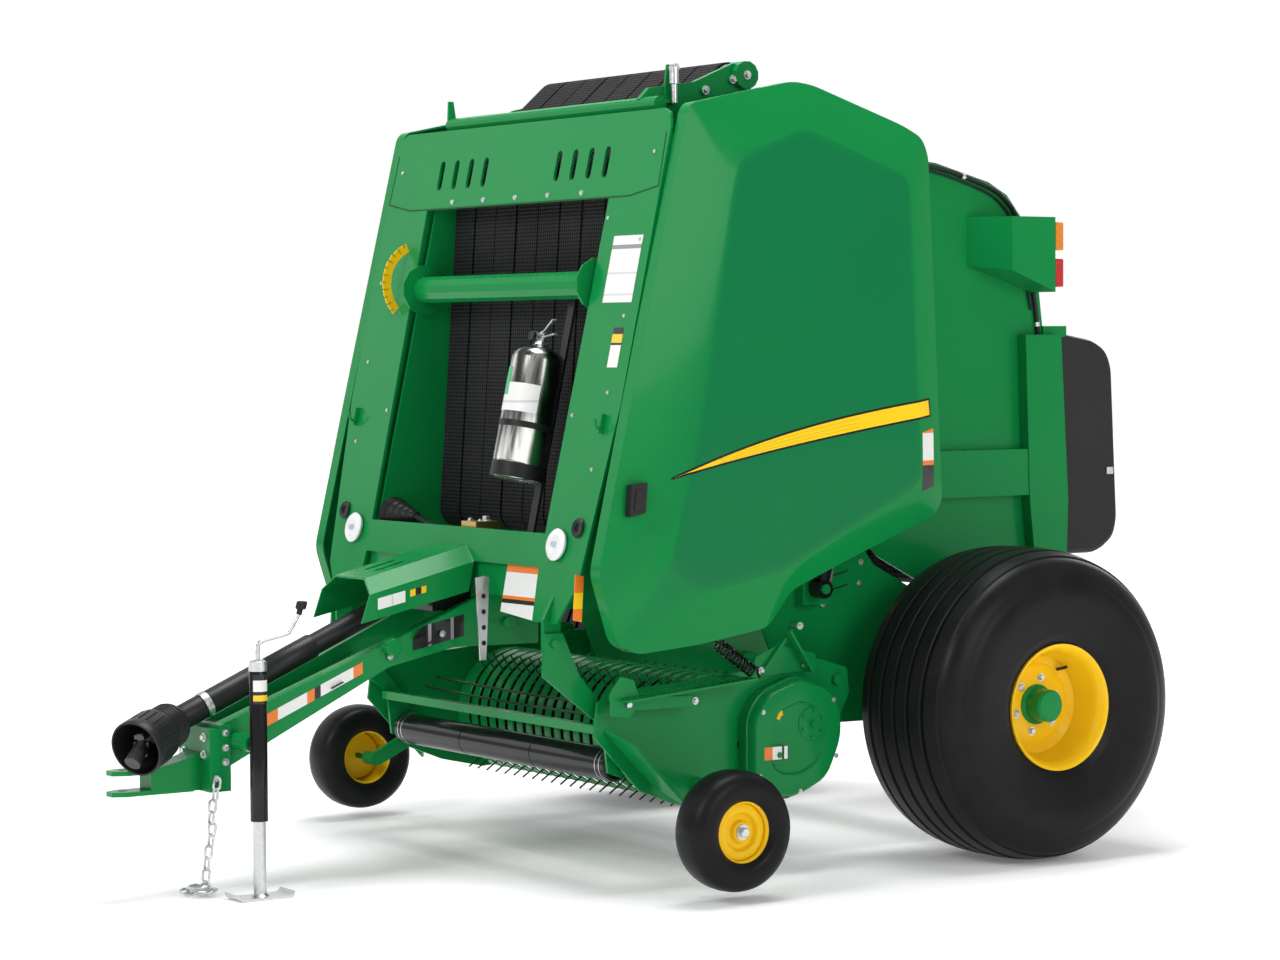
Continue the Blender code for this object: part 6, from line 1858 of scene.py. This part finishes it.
def rear_cover():
    """A deep plastic tray with rolled corners, open towards the machine."""
    steps = 6
    rounded = eased(COVER_OUTER, 0.055, steps)[steps + 1:-steps - 1]
    rim = [Vector(COVER_OUTER[0])] + rounded + [Vector(COVER_OUTER[-1])]
    heart = Vector((0.62, 1.46))
    half = 0.600
    shell = Solid()
    rows = []
    for x, share in ((-half, 0.955), (-half + 0.006, 0.985), (-half + 0.022, 1.0),
                     (half - 0.022, 1.0), (half - 0.006, 0.985), (half, 0.955)):
        rows.append([(x, *(heart + (p - heart) * share)) for p in rim])
    back = []
    for x, share in ((half - 0.008, 0.945), (half - 0.022, 0.985), (-half + 0.022, 0.985),
                     (-half + 0.008, 0.945)):
        back.append([(x, *(heart + (p - heart) * share)) for p in rim])
    shell.loft(rows + back, around=False, ends=False, loop=True)
    count = len(rim)
    for end in (0, count - 1):
        shell.add([ring[end] for ring in rows + back], [tuple(range(len(rows + back)))])
    for x in (-half, half - 0.006):
        shell.plate([(x, *(heart + (p - heart) * 0.955)) for p in rim], (0.006, 0, 0))
    shell.piece("moulded_rear_cover", COVER, "rear_cover", replaces=["rear_cover"])
    catch = Solid()
    catch.box((0.597, 0.835, 1.352), (0.606, 0.868, 1.380))
    catch.piece("cover_catch", ZINC, "rear_cover", 0.002)
    pins = Solid()
    for hand in (-1, 1):
        pins.rod((hand * 0.585, 0.598, 1.905), (hand * 0.604, 0.598, 1.905), 0.018, 24)
        pins.box((hand * 0.594 - 0.005, 0.585, 1.868), (hand * 0.594 + 0.005, 0.625, 1.905))
    pins.piece("cover_hinges", COVER, "rear_cover", 0.002)


rear_cover()
print("rear cover rounded")


# %% [markdown]
# ## Drive cover
# A pressed housing keeps hay out of the pickup's chain. Its outline is lofted outwards in steps: a
# flange, a bead where its two halves meet, and a dome. Two round hatches with bolts stand on it,
# and two yellow arrows, each a flat outline, show which way the chain runs.

# %% Drive cover
DRIVE_OUTLINE = ((-1.050, 0.330), (-1.050, 0.560), (-0.990, 0.640), (-0.840, 0.690), (-0.700, 0.640),
                 (-0.655, 0.560), (-0.655, 0.460), (-0.720, 0.320), (-0.850, 0.262), (-0.980, 0.270))


def drive_cover():
    """A pressed housing: a stepped dome with a bead where its halves meet."""
    low, high = resting(*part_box("pickup_drive_cover"))
    rim = eased(DRIVE_OUTLINE, 0.045, 5)
    heart = Vector((-0.855, 0.475))
    rows = []
    for share_x, share in ((0.0, 1.0), (0.44, 1.0), (0.46, 1.018), (0.54, 1.018), (0.56, 0.985),
                           (0.86, 0.970), (0.97, 0.935), (1.0, 0.88)):
        x = low[0] + (high[0] - low[0]) * share_x
        rows.append([(x, *(heart + (p - heart) * share)) for p in rim])
    rows.append([(high[0], *(heart + (p - heart) * 0.62)) for p in rim])
    rows.append([(high[0] - 0.010, *(heart + (p - heart) * 0.58)) for p in rim])
    Solid().loft(rows).piece("domed_drive_cover", GREEN, "pickup", replaces=["pickup_drive_cover"])
    hatch = Solid()
    x = high[0] - 0.010
    hatch.rod((x - 0.002, -0.790, 0.520), (x + 0.004, -0.790, 0.520), 0.060, 40, round_off=0.002)
    hatch.rod((x - 0.002, -0.940, 0.420), (x + 0.004, -0.940, 0.420), 0.038, 36, round_off=0.002)
    hatch.piece("drive_cover_hatches", GREEN, "pickup")
    studs = Solid()
    for y, z in ((-0.790, 0.520), (-0.940, 0.420)):
        studs.bolt((x + 0.004, y, z), (1, 0, 0), 0.022)
    for k in range(6):
        t = 2 * pi * k / 6 + 0.4
        studs.bolt((x + 0.004, -0.790 + 0.046 * cos(t), 0.520 + 0.046 * sin(t)), (1, 0, 0), 0.010)
    studs.piece("drive_cover_bolts", GREEN, "pickup")
    arrows = Solid()
    for y, z, lean in ((-0.930, 0.560, 0.5), (-0.740, 0.395, -0.5)):
        up, right = Vector((sin(lean), cos(lean))), Vector((cos(lean), -sin(lean)))
        spot = Vector((y, z))
        shape = ((-0.007, -0.018), (0.007, -0.018), (0.007, 0.002), (0.014, 0.002), (0.0, 0.020),
                 (-0.014, 0.002), (-0.007, 0.002))
        flat = [spot + right * a + up * b for a, b in shape]
        arrows.plate([(x - 0.0002, p.x, p.y) for p in flat], (0.0012, 0, 0))
    arrows.piece("label_arrows", YELLOW, "pickup")


drive_cover()
print("drive cover pressed")


# %% [markdown]
# ## Tensioner and side plates
# A small cylinder and a bracket on the header keep the belts tight. Behind the shields, a slotted
# plate on each side sheet holds the pickup's float stop. They are plates, rods and bolts that stand
# on the solids, set where a mechanic would reach them.

# %% Belt tensioner
tensioner, steel = Solid(), Solid()
steel.rod((0.700, -1.250, 2.700), (0.700, -1.250, 2.770), 0.011, 20)
steel.rod((0.700, -1.250, 2.765), (0.700, -1.250, 2.822), 0.0165, 24, round_off=0.002)
steel.rod((0.688, -1.250, 2.822), (0.712, -1.250, 2.822), 0.015, 20)
steel.piece("tension_cylinder", ZINC, "frame")
tensioner.box((0.664, -1.275, 2.700), (0.688, -1.225, 2.712))
tensioner.plate([(0.665, -1.280, 2.700), (0.665, -1.220, 2.700), (0.665, -1.235, 2.835),
                 (0.665, -1.262, 2.835)], (0.010, 0, 0))
for y in (-1.10, -0.98):
    z = 2.752 + 0.35 * (y + 1.10)
    tensioner.rod((0.664, y, z), (0.676, y, z), 0.016, 24)
tensioner.piece("tension_bracket", GREEN, "frame", 0.001)
tension_bolts = Solid()
for y, z, x in ((-0.930, 2.810, 0.690), (-1.100, 2.752, 0.676), (-0.980, 2.794, 0.676)):
    tension_bolts.bolt((x, y, z), (1, 0, 0), 0.022)
tension_bolts.piece("tension_bolts", ZINC, "frame")
print("tensioner")

# %% Side plates
# Dark plastic bars in each plate: painted shade where its slots are.
plates, painted_slot_shade, studs = Solid(), Solid(), Solid()
for side_name, sign in SIDES:
    x = sign * 0.608
    plates.plate([(x, -0.560, 0.900), (x, -0.420, 0.930), (x, -0.350, 1.000), (x, -0.360, 1.080),
                  (x, -0.540, 1.050)],
                 (sign * 0.006, 0, 0))
    for z in (0.965, 1.015):
        low, high = Vector((sign * 0.6145, -0.515, z)), Vector((sign * 0.6145, -0.435, z + 0.018))
        painted_slot_shade.bar(low, high, 0.016, 0.002)
    for y, z in ((-0.545, 0.915), (-0.372, 1.062), (-0.525, 1.038), (-0.380, 0.985)):
        studs.bolt((sign * 0.614, y, z), (sign, 0, 0), 0.015)
    for y, z in ((-0.150, 2.40), (-0.150, 2.00), (-0.150, 1.75)):
        studs.bolt((sign * 0.606, y, z), (sign, 0, 0), 0.014)
plates.piece("float_plates", GREEN, "frame", 0.001)
painted_slot_shade.piece("float_plate_slots_painted_shade", PLASTIC, "frame")
studs.piece("side_bolts", ZINC, "frame")
print("side plates with their slots and bolts")


# %% [markdown]
# ## Studio floor
# The floor is a plain pale slab, far wider than the view, so that its edge never shows. A curved
# backdrop would do as well, but the floor alone can fade: it glows a little more the farther it is
# from the machine, and so it runs into the white sky. Slight mottling makes it look like paper.

# %% Floor
slab = Solid().box((-40, -40, -0.02), (40, 40, 0.0))
floor_mesh = bpy.data.meshes.new("floor")
floor_mesh.from_pydata([v + Vector((0, AXLE_Y, 0)) for v in slab.verts], [], slab.faces)
floor = bpy.data.objects.new("floor", floor_mesh)
paper_floor = Finish("studio_floor", (0.95, 0.95, 0.95), 0.9, specular=0.0)
mottle = paper_floor.noise(0.7, 2.0)
paper_floor.set("Base Color", paper_floor.blend(mottle, (0.955, 0.955, 0.96), (0.975, 0.975, 0.975)))
spread = paper_floor.node("ShaderNodeVectorMath", {"operation": "LENGTH"}, {0: paper_floor.place},
                          output="Value")
far = ((spread - 3.2) * 0.22).clamped()
paper_floor.set("Emission Color", paper_floor.blend(far, (0.16, 0.155, 0.16), (1.0, 1.0, 1.0)))
paper_floor.set("Emission Strength", 0.75)
floor.data.materials.append(paper_floor.material)
bpy.context.scene.collection.objects.link(floor)
bpy.context.scene.view_settings.view_transform = "Standard"
print("floor laid")
